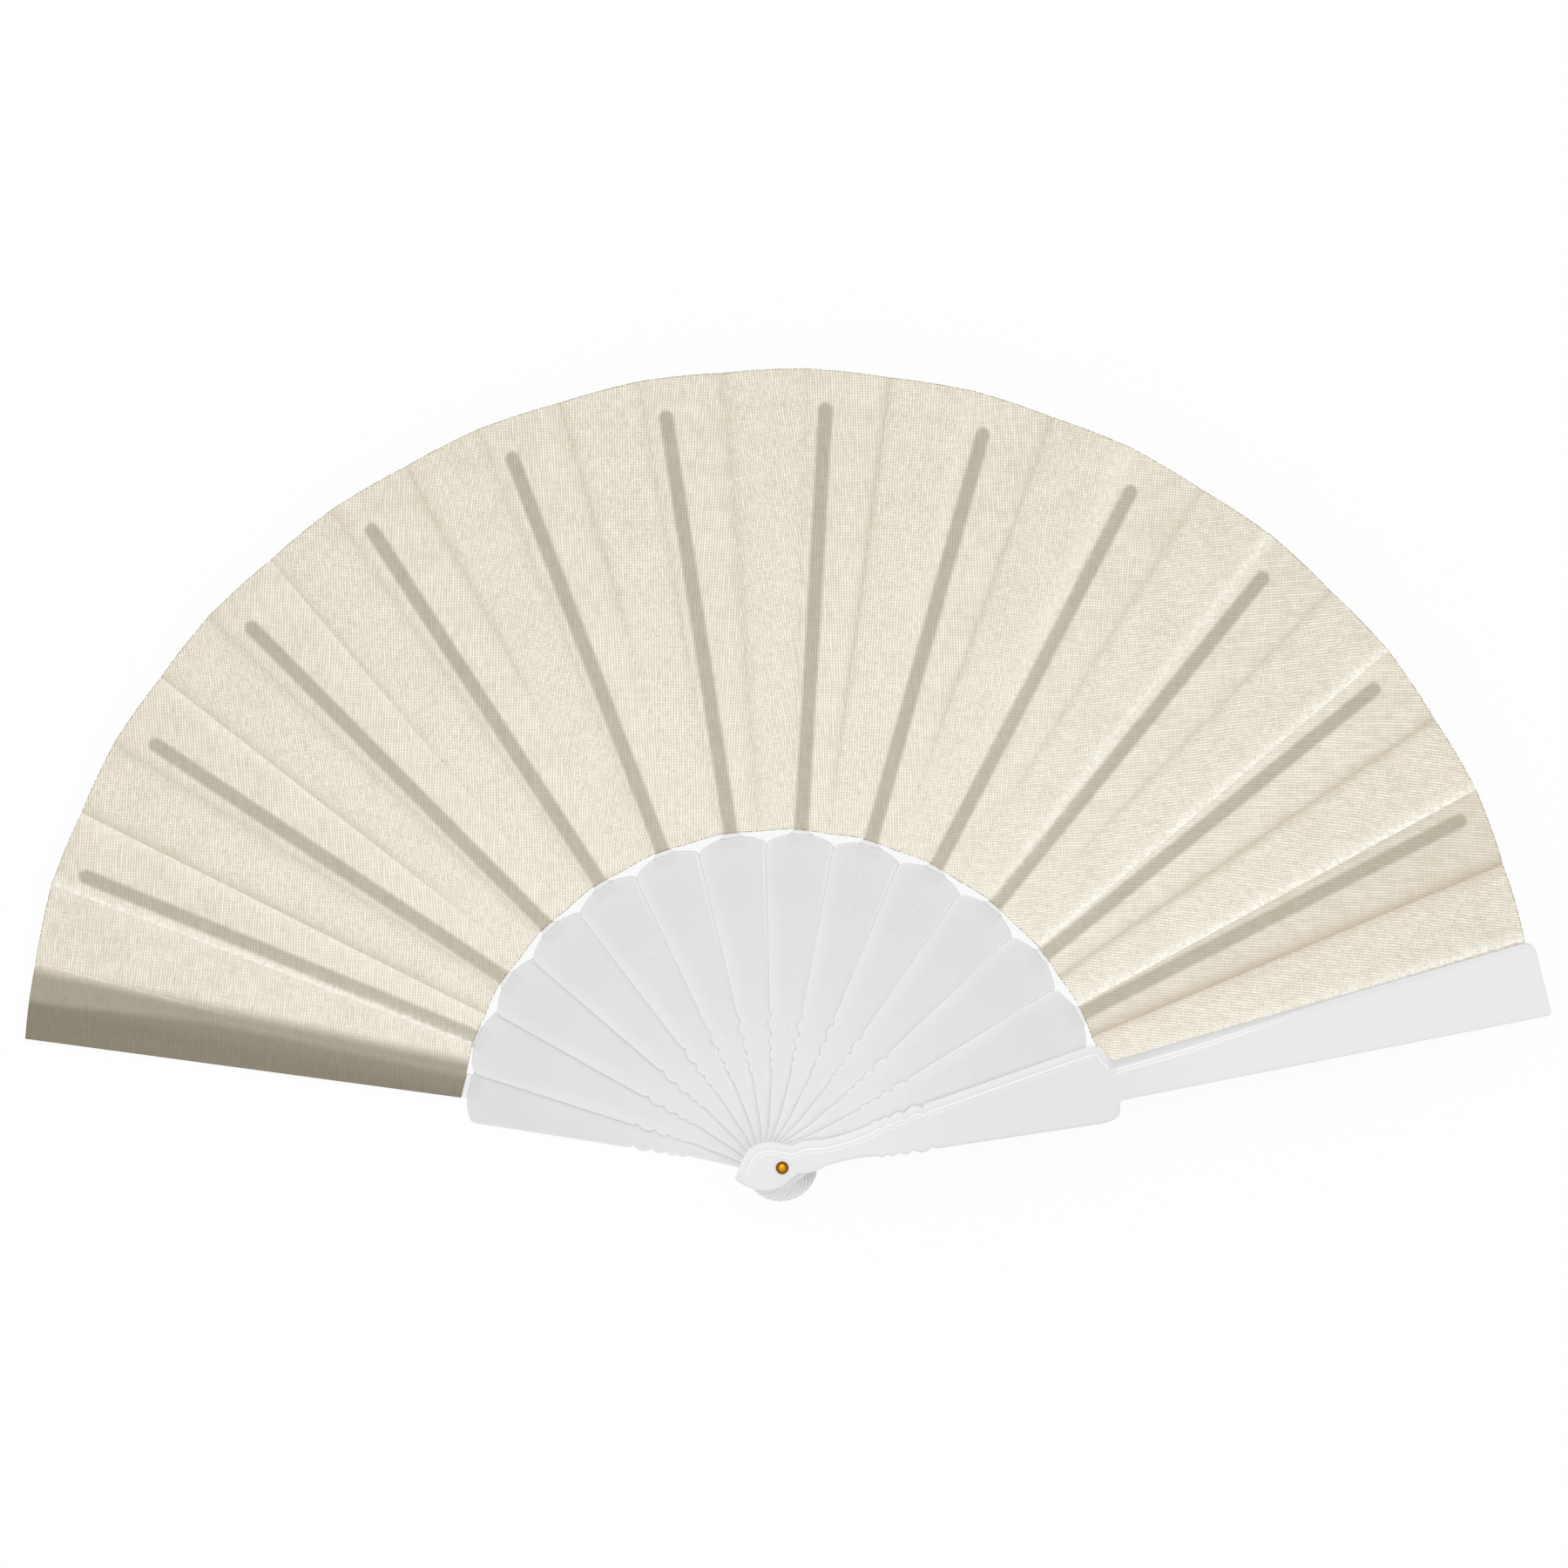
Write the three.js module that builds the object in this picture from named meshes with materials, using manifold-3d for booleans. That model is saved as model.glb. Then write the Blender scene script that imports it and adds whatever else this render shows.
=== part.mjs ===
// A folding hand fan of white moulded plastic with one pleated cloth leaf, lying open and flat.
// Twelve inner sticks and two guards turn on one brass rivet, and the leaf is glued to all of them.
// Millimetres and degrees. The origin is on the rivet's axis, level with the outer face of the
// rear guard, which the fan rests on. +Z points out of the front guard, +Y up the open fan.

import * as THREE from 'three';
import { mergeVertices } from 'three/addons/utils/BufferGeometryUtils.js';
import Module from 'manifold-3d';

const wasm = await Module();
wasm.setup();

const { degToRad, smoothstep } = THREE.MathUtils;

// How the fan opens and stacks
const stickCount = 12;
const openAngle = 154;          // from the rear guard to the front guard
const leafStartAngle = 170.7;   // from +X to the leaf's free edge, on the rear guard
const runningGap = 0.2;         // air between neighbours on the rivet
const stickLag = 1.1;           // degrees by which sticks near the rear guard lie closer to it, at most
const lagRise = 2;              // how the lag grows from the rear guard, and fades to the front guard
const lagFall = 5;

// Cloth leaf
const leafInnerRadius = 93.3;
const leafInnerDrop = 1.8;      // how much closer to the rivet the leaf's inner edge is at its free end
const leafInnerDropAngle = 20;
const leafOuterRadius = 221.5;
const leafEndDrop = 7;          // how much shorter the leaf is at its two ends than in the middle
const leafEndPower = 5;
const clothThickness = 0.15;
const creaseMargin = 0.15;      // cloth left out on each side of a crease
const hiddenEdgeAngle = 0.2;    // the cloth ends this far inside the front guard's outer edge
const lastCreaseAngle = 0.3;    // the last crease lies this far outside the front guard's half angle
const glueGap = 0.05;           // under the cloth, where it is glued down
const freeEdgeMargin = 0.3;     // cloth beyond the rear guard's blade along its free edge

// Inner sticks: a body with a scalloped top, a bead row, a waist and a round tail
const stickThickness = 1.0;
const stickEdgeRound = 0.35;
const stickAxisOffset = 1.5;    // degrees from the ridge crease to the middle of the stick
const scallopGap = 1.2;         // open strip between the bodies and the leaf
const bodyTopHalf = 9.45;
const bodyFootHalf = 6.2;
const bodyFootRise = 3.5;       // from the last bead to the full width of the body's foot
const scallopCorner = 5.9;      // the corner starts this far below the scallop's top
const scallopShoulder = 1.95;   // and ends this far below it
const scallopShoulderHalf = 8.55;
const waistHalf = 4.2;
const waistRadius = 14;
const stickTail = 10.2;
const stickTailHalf = 5.2;
const waistCurveStart = 0.4;    // shares of the waist's radius
const waistCurveEnd = 0.6;
const bodyFootLead = 0.5;
const scallopCurveStart = 0.75; // shares of the scallop's corner
const scallopCurveEnd = 0.5;
const scallopSwell = 0.15;
const scallopCrest = 0.4;
const scallopTopLead = 0.5;
const scallopTopShare = 0.7;

// The narrow rib that carries the cloth, and the tab where it leaves the body
const ribThickness = 0.6;
const ribHalf = 2.2;
const ribShort = 10;            // from the rib's round end to the leaf's full radius
const tabHalf = 3.3;
const tabShort = 0.4;           // the tab narrows to the rib just before the cloth
const tabTaper = 0.6;
const tabRoot = 3;              // the tab runs this far into the body

// The row of beads on both edges of sticks and guards, largest outermost
const beadRowTop = 41.6;
const beadCount = 4;
const firstBead = 5.2;
const beadRatio = 0.79;
const beadSwell = 0.2;          // height of a bead's arc over its length
const stickBeadTopHalf = 5.1;
const stickBeadFootHalf = 4.4;

// Front guard: a thick body with a wide bevel on the leaf side, and a thinner blade over the leaf
const guardThickness = 2.6;
const bladeThickness = 1.6;
const leafRecess = 0.4;         // step in the inner face, where the cloth lies
const recessMargin = 1.5;       // the step starts this far inside the leaf
const recessReach = 4;          // the step runs this far past the shoulder, under the blade
const shoulderReach = 2.9;      // the body ends this far over the leaf
const bladeShort = 4.7;         // from the blade's tip to the leaf's full radius
const bladeRoot = 6;            // the blade runs this far into the body
const bladeHalfAngle = 2.75;
const bladeRootExtra = 1.8;     // the blade's leaf edge stands this much outside its half angle
const bladeTipExtra = 0.5;
const bladeTipCorner = 3.6;
const bladeOuterCorner = 1;
const guardEdgeHeight = 1.0;    // plain upright edge under the bevel
const bevelWidth = 2.4;
const bevelFade = 150;          // the blade's bevel has run out at this radius
const bevelFadeReach = 20;
const outerEdgeRound = 0.35;
const eyeBevelReach = 6;        // the bevel grows to its width over this much of the eye
const endBevel = 1;
const guardShoulderHalf = 9.5;
const shoulderCornerStart = 7.8; // the shoulder's corner, back from its end, and how far it drops
const shoulderCornerLead = 4.8;
const shoulderCornerSwell = 0.2;
const shoulderCornerTurn = 2.2;
const shoulderCornerEase = 0.3;
const shoulderCornerEnd = 1.8;
const shoulderCornerDrop = 2.2;
const shoulderFilletAt = 1.5;
const shoulderFilletHalf = 5;
const shoulderEndHalf = 4.2;
const guardFootHalf = 5.4;
const guardBeadTopHalf = 4.4;
const guardBeadFootHalf = 3.3;
const guardWaistHalf = 2.2;
const frontTail = 13.6;
const eyeHalf = 5.5;
const eyeTipStart = 0.84;       // shares of the tail's length and of the eye's half width
const eyeTipRise = 0.45;
const eyeSideStart = 0.6;
const eyeWidest = 0.3;
const notchLead = 2.2;          // the notch behind the eye, then a swell, then the narrow neck
const notchLeadHalf = 3.4;
const notchAt = 4.1;
const notchHalf = 2.8;
const swellAt = 7.5;
const swellHalf = 3.9;
const neckStart = 11.7;
const neckFlare = 0.3;
const neckCurveStart = 15;
const neckCurveEnd = 21;

// Rear guard: a thick body shaped like an inner stick's, and a blade that widens under the leaf. The
// body is set at a slight angle to the blade, so that the blade's outer edge runs on from its tab.
const rearTail = 8.8;
const rearBevel = 1.2;
const rearBodyTurn = 1.65;
const rearBodyShort = 2;        // the body ends this much closer to the rivet than an inner stick's
const rearBladeShort = 7.7;     // from the blade's tip to the leaf's full radius
const rearBladeShoulder = 99;   // the blade has its full width from this radius
const rearBladeShoulderHalf = 5.75;
const rearTipTaper = 1;

// Rivet
const shankRadius = 1.25;
const rivetClearance = 0.15;
const headRadius = 1.75;
const headHeight = 1.0;
const tailHeadRadius = 2.1;
const tailHeadHeight = 0.45;
const washerRadius = 2.9;
const washerThickness = 0.4;
const seatGap = 0.05;
const counterboreMargin = 0.2;
const roundSegments = 20;

// Worked out from the sizes above
const pitchAngle = openAngle / (stickCount + 1);
const stickPitch = stickThickness + runningGap;
const bodyTop = leafInnerRadius - scallopGap;
const beadRowLength = firstBead * (1 - beadRatio ** beadCount) / (1 - beadRatio);
const beadRowFoot = beadRowTop - beadRowLength;
const bodyFoot = beadRowTop + bodyFootRise;
const frontGuardLevel = guardThickness + runningGap + stickCount * stickPitch;
const holeRadius = shankRadius + rivetClearance;
const counterboreDepth = tailHeadHeight + washerThickness + 2 * seatGap;
const shoulderEnd = leafInnerRadius + shoulderReach;
const bladeEnd = leafOuterRadius - bladeShort;
const rearBladeEnd = leafOuterRadius - rearBladeShort;
const tabEnd = leafInnerRadius - tabShort;
const rearBodyTop = bodyTop - rearBodyShort;
const rearTabEnd = leafInnerRadius - leafInnerDrop;
const bladeSlope = Math.tan(degToRad(bladeHalfAngle));

const whitePlastic = new THREE.MeshStandardMaterial({ color: 0xe8e8ea, roughness: 0.32, metalness: 0 });
const greyWhitePlastic = new THREE.MeshStandardMaterial({ color: 0xe0e0e1, roughness: 0.4, metalness: 0 });
const ecruCloth = new THREE.MeshStandardMaterial({ color: 0xe9e2d4, roughness: 0.9, metalness: 0 });
const brass = new THREE.MeshStandardMaterial({ color: 0xc8932a, roughness: 0.25, metalness: 1 });

// Joining and cutting closed solids
function solidOf(geometry) {
  const bare = geometry.clone();
  bare.deleteAttribute('normal');
  bare.deleteAttribute('uv');
  const merged = mergeVertices(bare, 1e-4);
  return new wasm.Manifold(new wasm.Mesh({
    numProp: 3,
    vertProperties: new Float32Array(merged.attributes.position.array),
    triVerts: new Uint32Array(merged.index.array),
  }));
}

function geometryOf(solid) {
  const mesh = solid.getMesh();
  const geometry = new THREE.BufferGeometry();
  geometry.setAttribute('position', new THREE.BufferAttribute(mesh.vertProperties, 3));
  geometry.setIndex(new THREE.BufferAttribute(mesh.triVerts, 1));
  return geometry;
}

// A closed solid through outlines stacked from the bottom up, all with the same number of points
function loft(rings) {
  const count = rings[0].length;
  const positions = rings.flat().flatMap((p) => [p.x, p.y, p.z]);
  const faces = [];
  for (let ring = 0; ring < rings.length - 1; ring += 1) {
    for (let i = 0; i < count; i += 1) {
      const a = ring * count + i;
      const b = ring * count + (i + 1) % count;
      faces.push(a, b, b + count, a, b + count, a + count);
    }
  }
  const capOf = (ring) => THREE.ShapeUtils.triangulateShape(
    ring.map((p) => new THREE.Vector2(p.x, p.y)), []);
  for (const [a, b, c] of capOf(rings[0])) {
    faces.push(a, c, b);
  }
  const last = count * (rings.length - 1);
  for (const [a, b, c] of capOf(rings[rings.length - 1])) {
    faces.push(last + a, last + b, last + c);
  }
  const geometry = new THREE.BufferGeometry();
  geometry.setAttribute('position', new THREE.Float32BufferAttribute(positions, 3));
  geometry.setIndex(faces);
  return geometry;
}

const atHeight = (outline, z) => outline.map((p) => new THREE.Vector3(p.x, p.y, z));

// Each point of a closed outline moved inwards along the mean direction of its two edges
function inset(outline, distance) {
  const count = outline.length;
  return outline.map((point, i) => {
    const before = outline[(i + count - 1) % count];
    const after = outline[(i + 1) % count];
    const along = new THREE.Vector2().subVectors(after, before).normalize();
    return new THREE.Vector2(point.x - along.y * distance, point.y + along.x * distance);
  });
}

function post(radius, from, to) {
  const geometry = new THREE.CylinderGeometry(radius, radius, to - from, roundSegments);
  geometry.rotateX(Math.PI / 2);
  geometry.translate(0, 0, (from + to) / 2);
  return solidOf(geometry);
}

// The beads of one edge, from the smallest at the waist to the largest under the body
function addBeads(edge, footHalf, topHalf) {
  const halfAt = (u) => footHalf + (topHalf - footHalf) * (u - beadRowFoot) / beadRowLength;
  let u = beadRowFoot;
  for (let bead = beadCount - 1; bead >= 0; bead -= 1) {
    const length = firstBead * beadRatio ** bead;
    const middle = u + length / 2;
    u += length;
    edge.quadraticCurveTo(middle, halfAt(middle) + 2 * beadSwell * length, u, halfAt(u));
  }
}

// One edge of an inner stick, from the tail's end to the tab at the body's top
function stickEdge(tail, top) {
  const edge = new THREE.Path();
  edge.absellipse(0, 0, tail, stickTailHalf, Math.PI, Math.PI / 2, true);
  edge.bezierCurveTo(
    waistRadius * waistCurveStart, stickTailHalf,
    waistRadius * waistCurveEnd, waistHalf,
    waistRadius, waistHalf);
  edge.lineTo(beadRowFoot, stickBeadFootHalf);
  addBeads(edge, stickBeadFootHalf, stickBeadTopHalf);
  edge.quadraticCurveTo(beadRowTop + bodyFootLead, bodyFootHalf, bodyFoot, bodyFootHalf);
  edge.lineTo(top - scallopCorner, bodyTopHalf);
  edge.bezierCurveTo(
    top - scallopCorner * scallopCurveStart, bodyTopHalf + scallopSwell,
    top - scallopCorner * scallopCurveEnd, bodyTopHalf + scallopCrest,
    top - scallopShoulder, scallopShoulderHalf);
  edge.quadraticCurveTo(top - scallopTopLead, scallopShoulderHalf * scallopTopShare, top, tabHalf);
  return edge.getPoints(4);
}

// A whole outline from one edge below the middle line and one above it, both given tail first
function closedOutline(lower, upper) {
  const below = lower.map((p) => new THREE.Vector2(p.x, -p.y));
  return [...below, ...upper.slice(1).reverse()];
}

function stickSolid() {
  const edge = stickEdge(stickTail, bodyTop);
  const outline = closedOutline(edge, edge);
  const body = loft([
    atHeight(outline, 0),
    atHeight(outline, stickThickness - stickEdgeRound),
    atHeight(inset(outline, stickEdgeRound), stickThickness),
  ]);
  const ribStart = bodyTop - tabRoot;
  const ribEnd = leafOuterRadius - ribShort;
  const rib = new THREE.Shape();
  rib.moveTo(ribStart, -tabHalf);
  rib.lineTo(tabEnd - tabTaper, -tabHalf);
  rib.lineTo(tabEnd, -ribHalf);
  rib.lineTo(ribEnd - ribHalf, -ribHalf);
  rib.absarc(ribEnd - ribHalf, 0, ribHalf, -Math.PI / 2, Math.PI / 2, false);
  rib.lineTo(tabEnd, ribHalf);
  rib.lineTo(tabEnd - tabTaper, tabHalf);
  rib.lineTo(ribStart, tabHalf);
  const ribGeometry = new THREE.ExtrudeGeometry(rib, {
    depth: ribThickness,
    bevelEnabled: false,
    curveSegments: 8,
  });
  return solidOf(body)
    .add(solidOf(ribGeometry))
    .subtract(post(holeRadius, -1, stickThickness + 1));
}

// One edge of the front guard's top face, from the tail's end round the eye to the shoulder
function guardEdge() {
  const edge = new THREE.Path();
  edge.moveTo(-frontTail, 0);
  edge.bezierCurveTo(
    -frontTail * eyeTipStart, eyeHalf * eyeTipRise,
    -frontTail * eyeSideStart, eyeHalf,
    -frontTail * eyeWidest, eyeHalf);
  edge.bezierCurveTo(0, eyeHalf, notchLead, notchLeadHalf, notchAt, notchHalf);
  edge.quadraticCurveTo(swellAt, swellHalf, neckStart, guardWaistHalf + neckFlare);
  edge.bezierCurveTo(
    neckCurveStart, guardWaistHalf,
    neckCurveEnd, guardWaistHalf,
    beadRowFoot, guardBeadFootHalf);
  addBeads(edge, guardBeadFootHalf, guardBeadTopHalf);
  edge.quadraticCurveTo(beadRowTop + bodyFootLead, guardFootHalf, bodyFoot, guardFootHalf);
  edge.lineTo(shoulderEnd - shoulderCornerStart, guardShoulderHalf);
  edge.bezierCurveTo(
    shoulderEnd - shoulderCornerLead, guardShoulderHalf + shoulderCornerSwell,
    shoulderEnd - shoulderCornerTurn, guardShoulderHalf - shoulderCornerEase,
    shoulderEnd - shoulderCornerEnd, guardShoulderHalf - shoulderCornerDrop);
  edge.quadraticCurveTo(shoulderEnd - shoulderFilletAt, shoulderFilletHalf, shoulderEnd, shoulderEndHalf);
  return edge.getPoints(4);
}

function guardBody() {
  const edge = guardEdge();
  const outline = (outerShift, leafShift, endShift) => {
    const moved = (shift) => edge.map((p) => new THREE.Vector2(
      p.x - endShift * smoothstep(p.x, bodyFoot, shoulderEnd),
      p.y + shift * smoothstep(p.x, -frontTail, eyeBevelReach - frontTail)));
    return closedOutline(moved(outerShift), moved(leafShift));
  };
  const base = outline(0, bevelWidth, 0);
  const top = outline(-outerEdgeRound, 0, endBevel);
  return loft([atHeight(base, 0), atHeight(base, guardEdgeHeight), atHeight(top, guardThickness)]);
}

// The blade widens along two straight edges, and its bevel runs out along the leaf side
function guardBlade() {
  const start = shoulderEnd - bladeRoot;
  const extraAt = (u) => bladeRootExtra
    + (bladeTipExtra - bladeRootExtra) * (u - shoulderEnd) / (bladeEnd - shoulderEnd);
  const leafEdgeAt = (u) => u * bladeSlope + extraAt(u);
  const bevelAt = (u) => bevelWidth - (bevelWidth - outerEdgeRound) * smoothstep(u, shoulderEnd, bevelFade);
  const outline = (outerShift, bevelShare, endShift) => {
    const tip = bladeEnd - endShift;
    const edge = new THREE.Path();
    const outerTip = -tip * bladeSlope + outerShift;
    edge.moveTo(start, -start * bladeSlope + outerShift);
    edge.lineTo(tip - bladeOuterCorner, outerTip);
    edge.quadraticCurveTo(tip, outerTip, tip, outerTip + bladeOuterCorner);
    const leafEdge = (u) => leafEdgeAt(u) - bevelAt(u) * bevelShare;
    edge.lineTo(tip, leafEdge(tip) - bladeTipCorner);
    edge.quadraticCurveTo(tip, leafEdge(tip), tip - bladeTipCorner, leafEdge(tip - bladeTipCorner));
    const steps = 6;
    for (let step = 0; step <= steps; step += 1) {
      const u = bevelFade + bevelFadeReach + (start - bevelFade - bevelFadeReach) * step / steps;
      edge.lineTo(u, leafEdge(u));
    }
    return edge.getPoints(4);
  };
  const base = outline(0, 0, 0);
  const top = outline(outerEdgeRound, 1, outerEdgeRound);
  const foot = leafRecess;
  return loft([
    atHeight(base, foot),
    atHeight(base, foot + bladeThickness / 2),
    atHeight(top, foot + bladeThickness),
  ]);
}

// Both guards stand on their inner faces here, with the leaf side at +Y
function frontGuardSolid() {
  const recessLength = recessMargin + shoulderReach + recessReach;
  const recess = new THREE.BoxGeometry(recessLength, guardShoulderHalf * 4, leafRecess * 2);
  recess.translate(leafInnerRadius - recessMargin + recessLength / 2, 0, 0);
  return solidOf(guardBody())
    .subtract(solidOf(recess))
    .add(solidOf(guardBlade()))
    .subtract(post(holeRadius, -1, guardThickness + 1));
}

// A point of the rear guard's body, seen along its blade
function onRearBody(u, v) {
  return new THREE.Vector2(u, v).rotateAround(new THREE.Vector2(), degToRad(rearBodyTurn));
}

function rearGuardSolid() {
  const edge = stickEdge(rearTail, rearBodyTop);
  const outline = closedOutline(edge, edge);
  const body = loft([
    atHeight(outline, 0),
    atHeight(outline, guardEdgeHeight),
    atHeight(inset(outline, rearBevel), guardThickness),
  ]);
  body.rotateZ(degToRad(rearBodyTurn));
  const tip = rearBladeEnd;
  const leafEdgeAt = (u) => rearBladeShoulderHalf + (u - rearBladeShoulder) * bladeSlope;
  const blade = new THREE.Path();
  blade.setFromPoints([
    onRearBody(rearBodyTop - tabRoot, -tabHalf),
    onRearBody(rearTabEnd, -tabHalf),
    new THREE.Vector2(tip, freeEdgeMargin - tip * bladeSlope),
    new THREE.Vector2(tip, leafEdgeAt(tip) - bladeTipCorner),
  ]);
  blade.quadraticCurveTo(
    tip, leafEdgeAt(tip) - rearTipTaper,
    tip - bladeTipCorner, leafEdgeAt(tip - bladeTipCorner) - rearTipTaper);
  blade.lineTo(rearBladeShoulder, rearBladeShoulderHalf);
  const leafRoot = onRearBody(rearTabEnd, tabHalf);
  blade.lineTo(leafRoot.x, leafRoot.y);
  const leafFoot = onRearBody(rearBodyTop - tabRoot, tabHalf);
  blade.lineTo(leafFoot.x, leafFoot.y);
  const bladeOutline = blade.getPoints(4);
  return solidOf(body)
    .add(solidOf(loft([
      atHeight(bladeOutline, leafRecess),
      atHeight(bladeOutline, leafRecess + bladeThickness / 2),
      atHeight(inset(bladeOutline, outerEdgeRound), leafRecess + bladeThickness),
    ])))
    .subtract(post(holeRadius, -1, guardThickness + 1));
}

// The leaf, panel by panel, each cut along its two creases
function ridgeAngle(i) {
  const lagShape = (share) => share ** lagRise * (1 - share) ** lagFall;
  const lag = stickLag * lagShape(i / (stickCount + 1)) / lagShape(lagRise / (lagRise + lagFall));
  return leafStartAngle - i * pitchAngle + lag + (i > stickCount ? lastCreaseAngle : 0);
}

const valleyAngle = (i) => (ridgeAngle(i) + ridgeAngle(i + 1)) / 2;

function leafRadiusAt(angle) {
  const middle = leafStartAngle - openAngle / 2;
  const share = Math.abs(angle - middle) / (openAngle / 2);
  return leafOuterRadius - leafEndDrop * share ** leafEndPower;
}

function leafInnerRadiusAt(angle) {
  const dropped = Math.max(0, angle - leafStartAngle + leafInnerDropAngle) / leafInnerDropAngle;
  return leafInnerRadius - leafInnerDrop * dropped;
}

// From one crease to the next, level or rising steadily away from the crease at `from`. The free
// edge of the leaf isn't a crease: it follows the rear guard's blade, from its own inner angle.
function leafPiece(from, to, level, slope, innerFrom = from) {
  const steps = 4;
  const arc = (radiusAt, start) => {
    const points = [];
    for (let step = 0; step <= steps; step += 1) {
      const share = step / steps;
      const plain = start + (to - start) * share;
      const radius = radiusAt(plain);
      const margin = THREE.MathUtils.radToDeg(creaseMargin / radius) * (1 - 2 * share);
      const angle = plain - margin;
      const height = level + radius * Math.sin(degToRad(from - angle)) * slope;
      points.push(new THREE.Vector3(
        radius * Math.cos(degToRad(angle)), radius * Math.sin(degToRad(angle)), height));
    }
    return points;
  };
  const outline = [...arc(leafRadiusAt, from).reverse(), ...arc(leafInnerRadiusAt, innerFrom)];
  const raised = outline.map((p) => new THREE.Vector3(p.x, p.y, p.z + clothThickness));
  return loft([outline, raised]);
}

const stickLevel = (i) => guardThickness + runningGap + (i - 1) * stickPitch;

// Height of the cloth's underside on each carrier: 0 is the rear guard, the last is the front guard
function clothLevel(i) {
  if (i === 0) {
    return guardThickness - leafRecess + glueGap;
  }
  if (i > stickCount) {
    return frontGuardLevel + leafRecess - glueGap - clothThickness;
  }
  return stickLevel(i) + ribThickness + glueGap;
}

function rivetSolid() {
  const head = frontGuardLevel + guardThickness + seatGap;
  const profile = [
    new THREE.Vector2(0, 0),
    new THREE.Vector2(tailHeadRadius, 0),
    new THREE.Vector2(tailHeadRadius, tailHeadHeight),
    new THREE.Vector2(shankRadius, tailHeadHeight),
    new THREE.Vector2(shankRadius, head),
    new THREE.Vector2(headRadius, head),
  ];
  const domeSteps = 5;
  for (let step = 1; step <= domeSteps; step += 1) {
    const turn = Math.PI / 2 * step / domeSteps;
    profile.push(new THREE.Vector2(headRadius * Math.cos(turn), head + headHeight * Math.sin(turn)));
  }
  profile[profile.length - 1].x = 0;
  const geometry = new THREE.LatheGeometry(profile, roundSegments);
  geometry.rotateX(Math.PI / 2);
  return geometry;
}

function washerSolid() {
  const foot = tailHeadHeight + seatGap;
  const hole = shankRadius + seatGap * 2;
  const profile = [
    new THREE.Vector2(hole, foot),
    new THREE.Vector2(washerRadius, foot),
    new THREE.Vector2(washerRadius, foot + washerThickness),
    new THREE.Vector2(hole, foot + washerThickness),
    new THREE.Vector2(hole, foot),
  ];
  const geometry = new THREE.LatheGeometry(profile, roundSegments);
  geometry.rotateX(Math.PI / 2);
  return geometry;
}

// The assembly
const fan = new THREE.Group();

function add(parent, name, geometry, material) {
  const mesh = new THREE.Mesh(geometry, material);
  mesh.name = name;
  parent.add(mesh);
  return mesh;
}

const twoDigits = (i) => String(i).padStart(2, '0');
const guardAxis = (edgeAngle) => degToRad(edgeAngle - bladeHalfAngle);

// The rear guard is turned over, so that its inner face and its leaf side meet the leaf
const counterbore = post(
  washerRadius + counterboreMargin,
  guardThickness - counterboreDepth,
  guardThickness + 1);
const rearGuardPlace = new THREE.Group();
rearGuardPlace.rotation.z = guardAxis(leafStartAngle);
fan.add(rearGuardPlace);
const rearGuard = add(
  rearGuardPlace, 'rear_guard', geometryOf(rearGuardSolid().subtract(counterbore)), whitePlastic);
rearGuard.rotation.x = Math.PI;
rearGuard.position.z = guardThickness;

const stickGeometry = geometryOf(stickSolid());
for (let i = 1; i <= stickCount; i += 1) {
  const stick = add(fan, `stick_${twoDigits(i)}`, stickGeometry, greyWhitePlastic);
  stick.rotation.z = degToRad(ridgeAngle(i) - stickAxisOffset);
  stick.position.z = stickLevel(i);
}

const frontGuard = add(fan, 'front_guard', geometryOf(frontGuardSolid()), whitePlastic);
frontGuard.rotation.z = guardAxis(leafStartAngle - openAngle);
frontGuard.position.z = frontGuardLevel;

const frontGuardOuterAngle = leafStartAngle - openAngle - 2 * bladeHalfAngle;
const outerRoot = onRearBody(rearTabEnd, -tabHalf);
const freeEdgeInnerAngle = leafStartAngle - bladeHalfAngle
  + THREE.MathUtils.radToDeg((freeEdgeMargin - outerRoot.y) / rearTabEnd);
for (let i = 0; i <= stickCount + 1; i += 1) {
  const end = i > stickCount ? frontGuardOuterAngle + hiddenEdgeAngle : valleyAngle(i);
  const innerStart = i === 0 ? freeEdgeInnerAngle : ridgeAngle(i);
  const panel = leafPiece(ridgeAngle(i), end, clothLevel(i), 0, innerStart);
  add(fan, `leaf_panel_${twoDigits(i)}`, panel, ecruCloth);
}

// Each fold climbs from one carrier's cloth to the next, at the slope that is right halfway out
const middleRadius = (leafInnerRadius + leafOuterRadius) / 2;
for (let i = 0; i <= stickCount; i += 1) {
  const climb = clothLevel(i + 1) - clothLevel(i);
  const slope = climb / (middleRadius * Math.sin(degToRad(valleyAngle(i) - ridgeAngle(i + 1))));
  const fold = leafPiece(valleyAngle(i), ridgeAngle(i + 1), clothLevel(i), slope);
  add(fan, `leaf_fold_${twoDigits(i)}`, fold, ecruCloth);
}

add(fan, 'rivet', rivetSolid(), brass);
add(fan, 'rivet_washer', washerSolid(), brass);

export default fan;
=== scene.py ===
"""A folding hand fan of white moulded plastic with one pleated leaf of ecru cloth, lying open.

Twelve inner sticks and two guards turn on one brass rivet. Lengths are in millimetres in the
fan's own frame and become metres when a mesh is made. Angles are in degrees from +X.
"""

from math import atan, comb, cos, degrees, pi, radians, sin, tan, tanh

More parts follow.
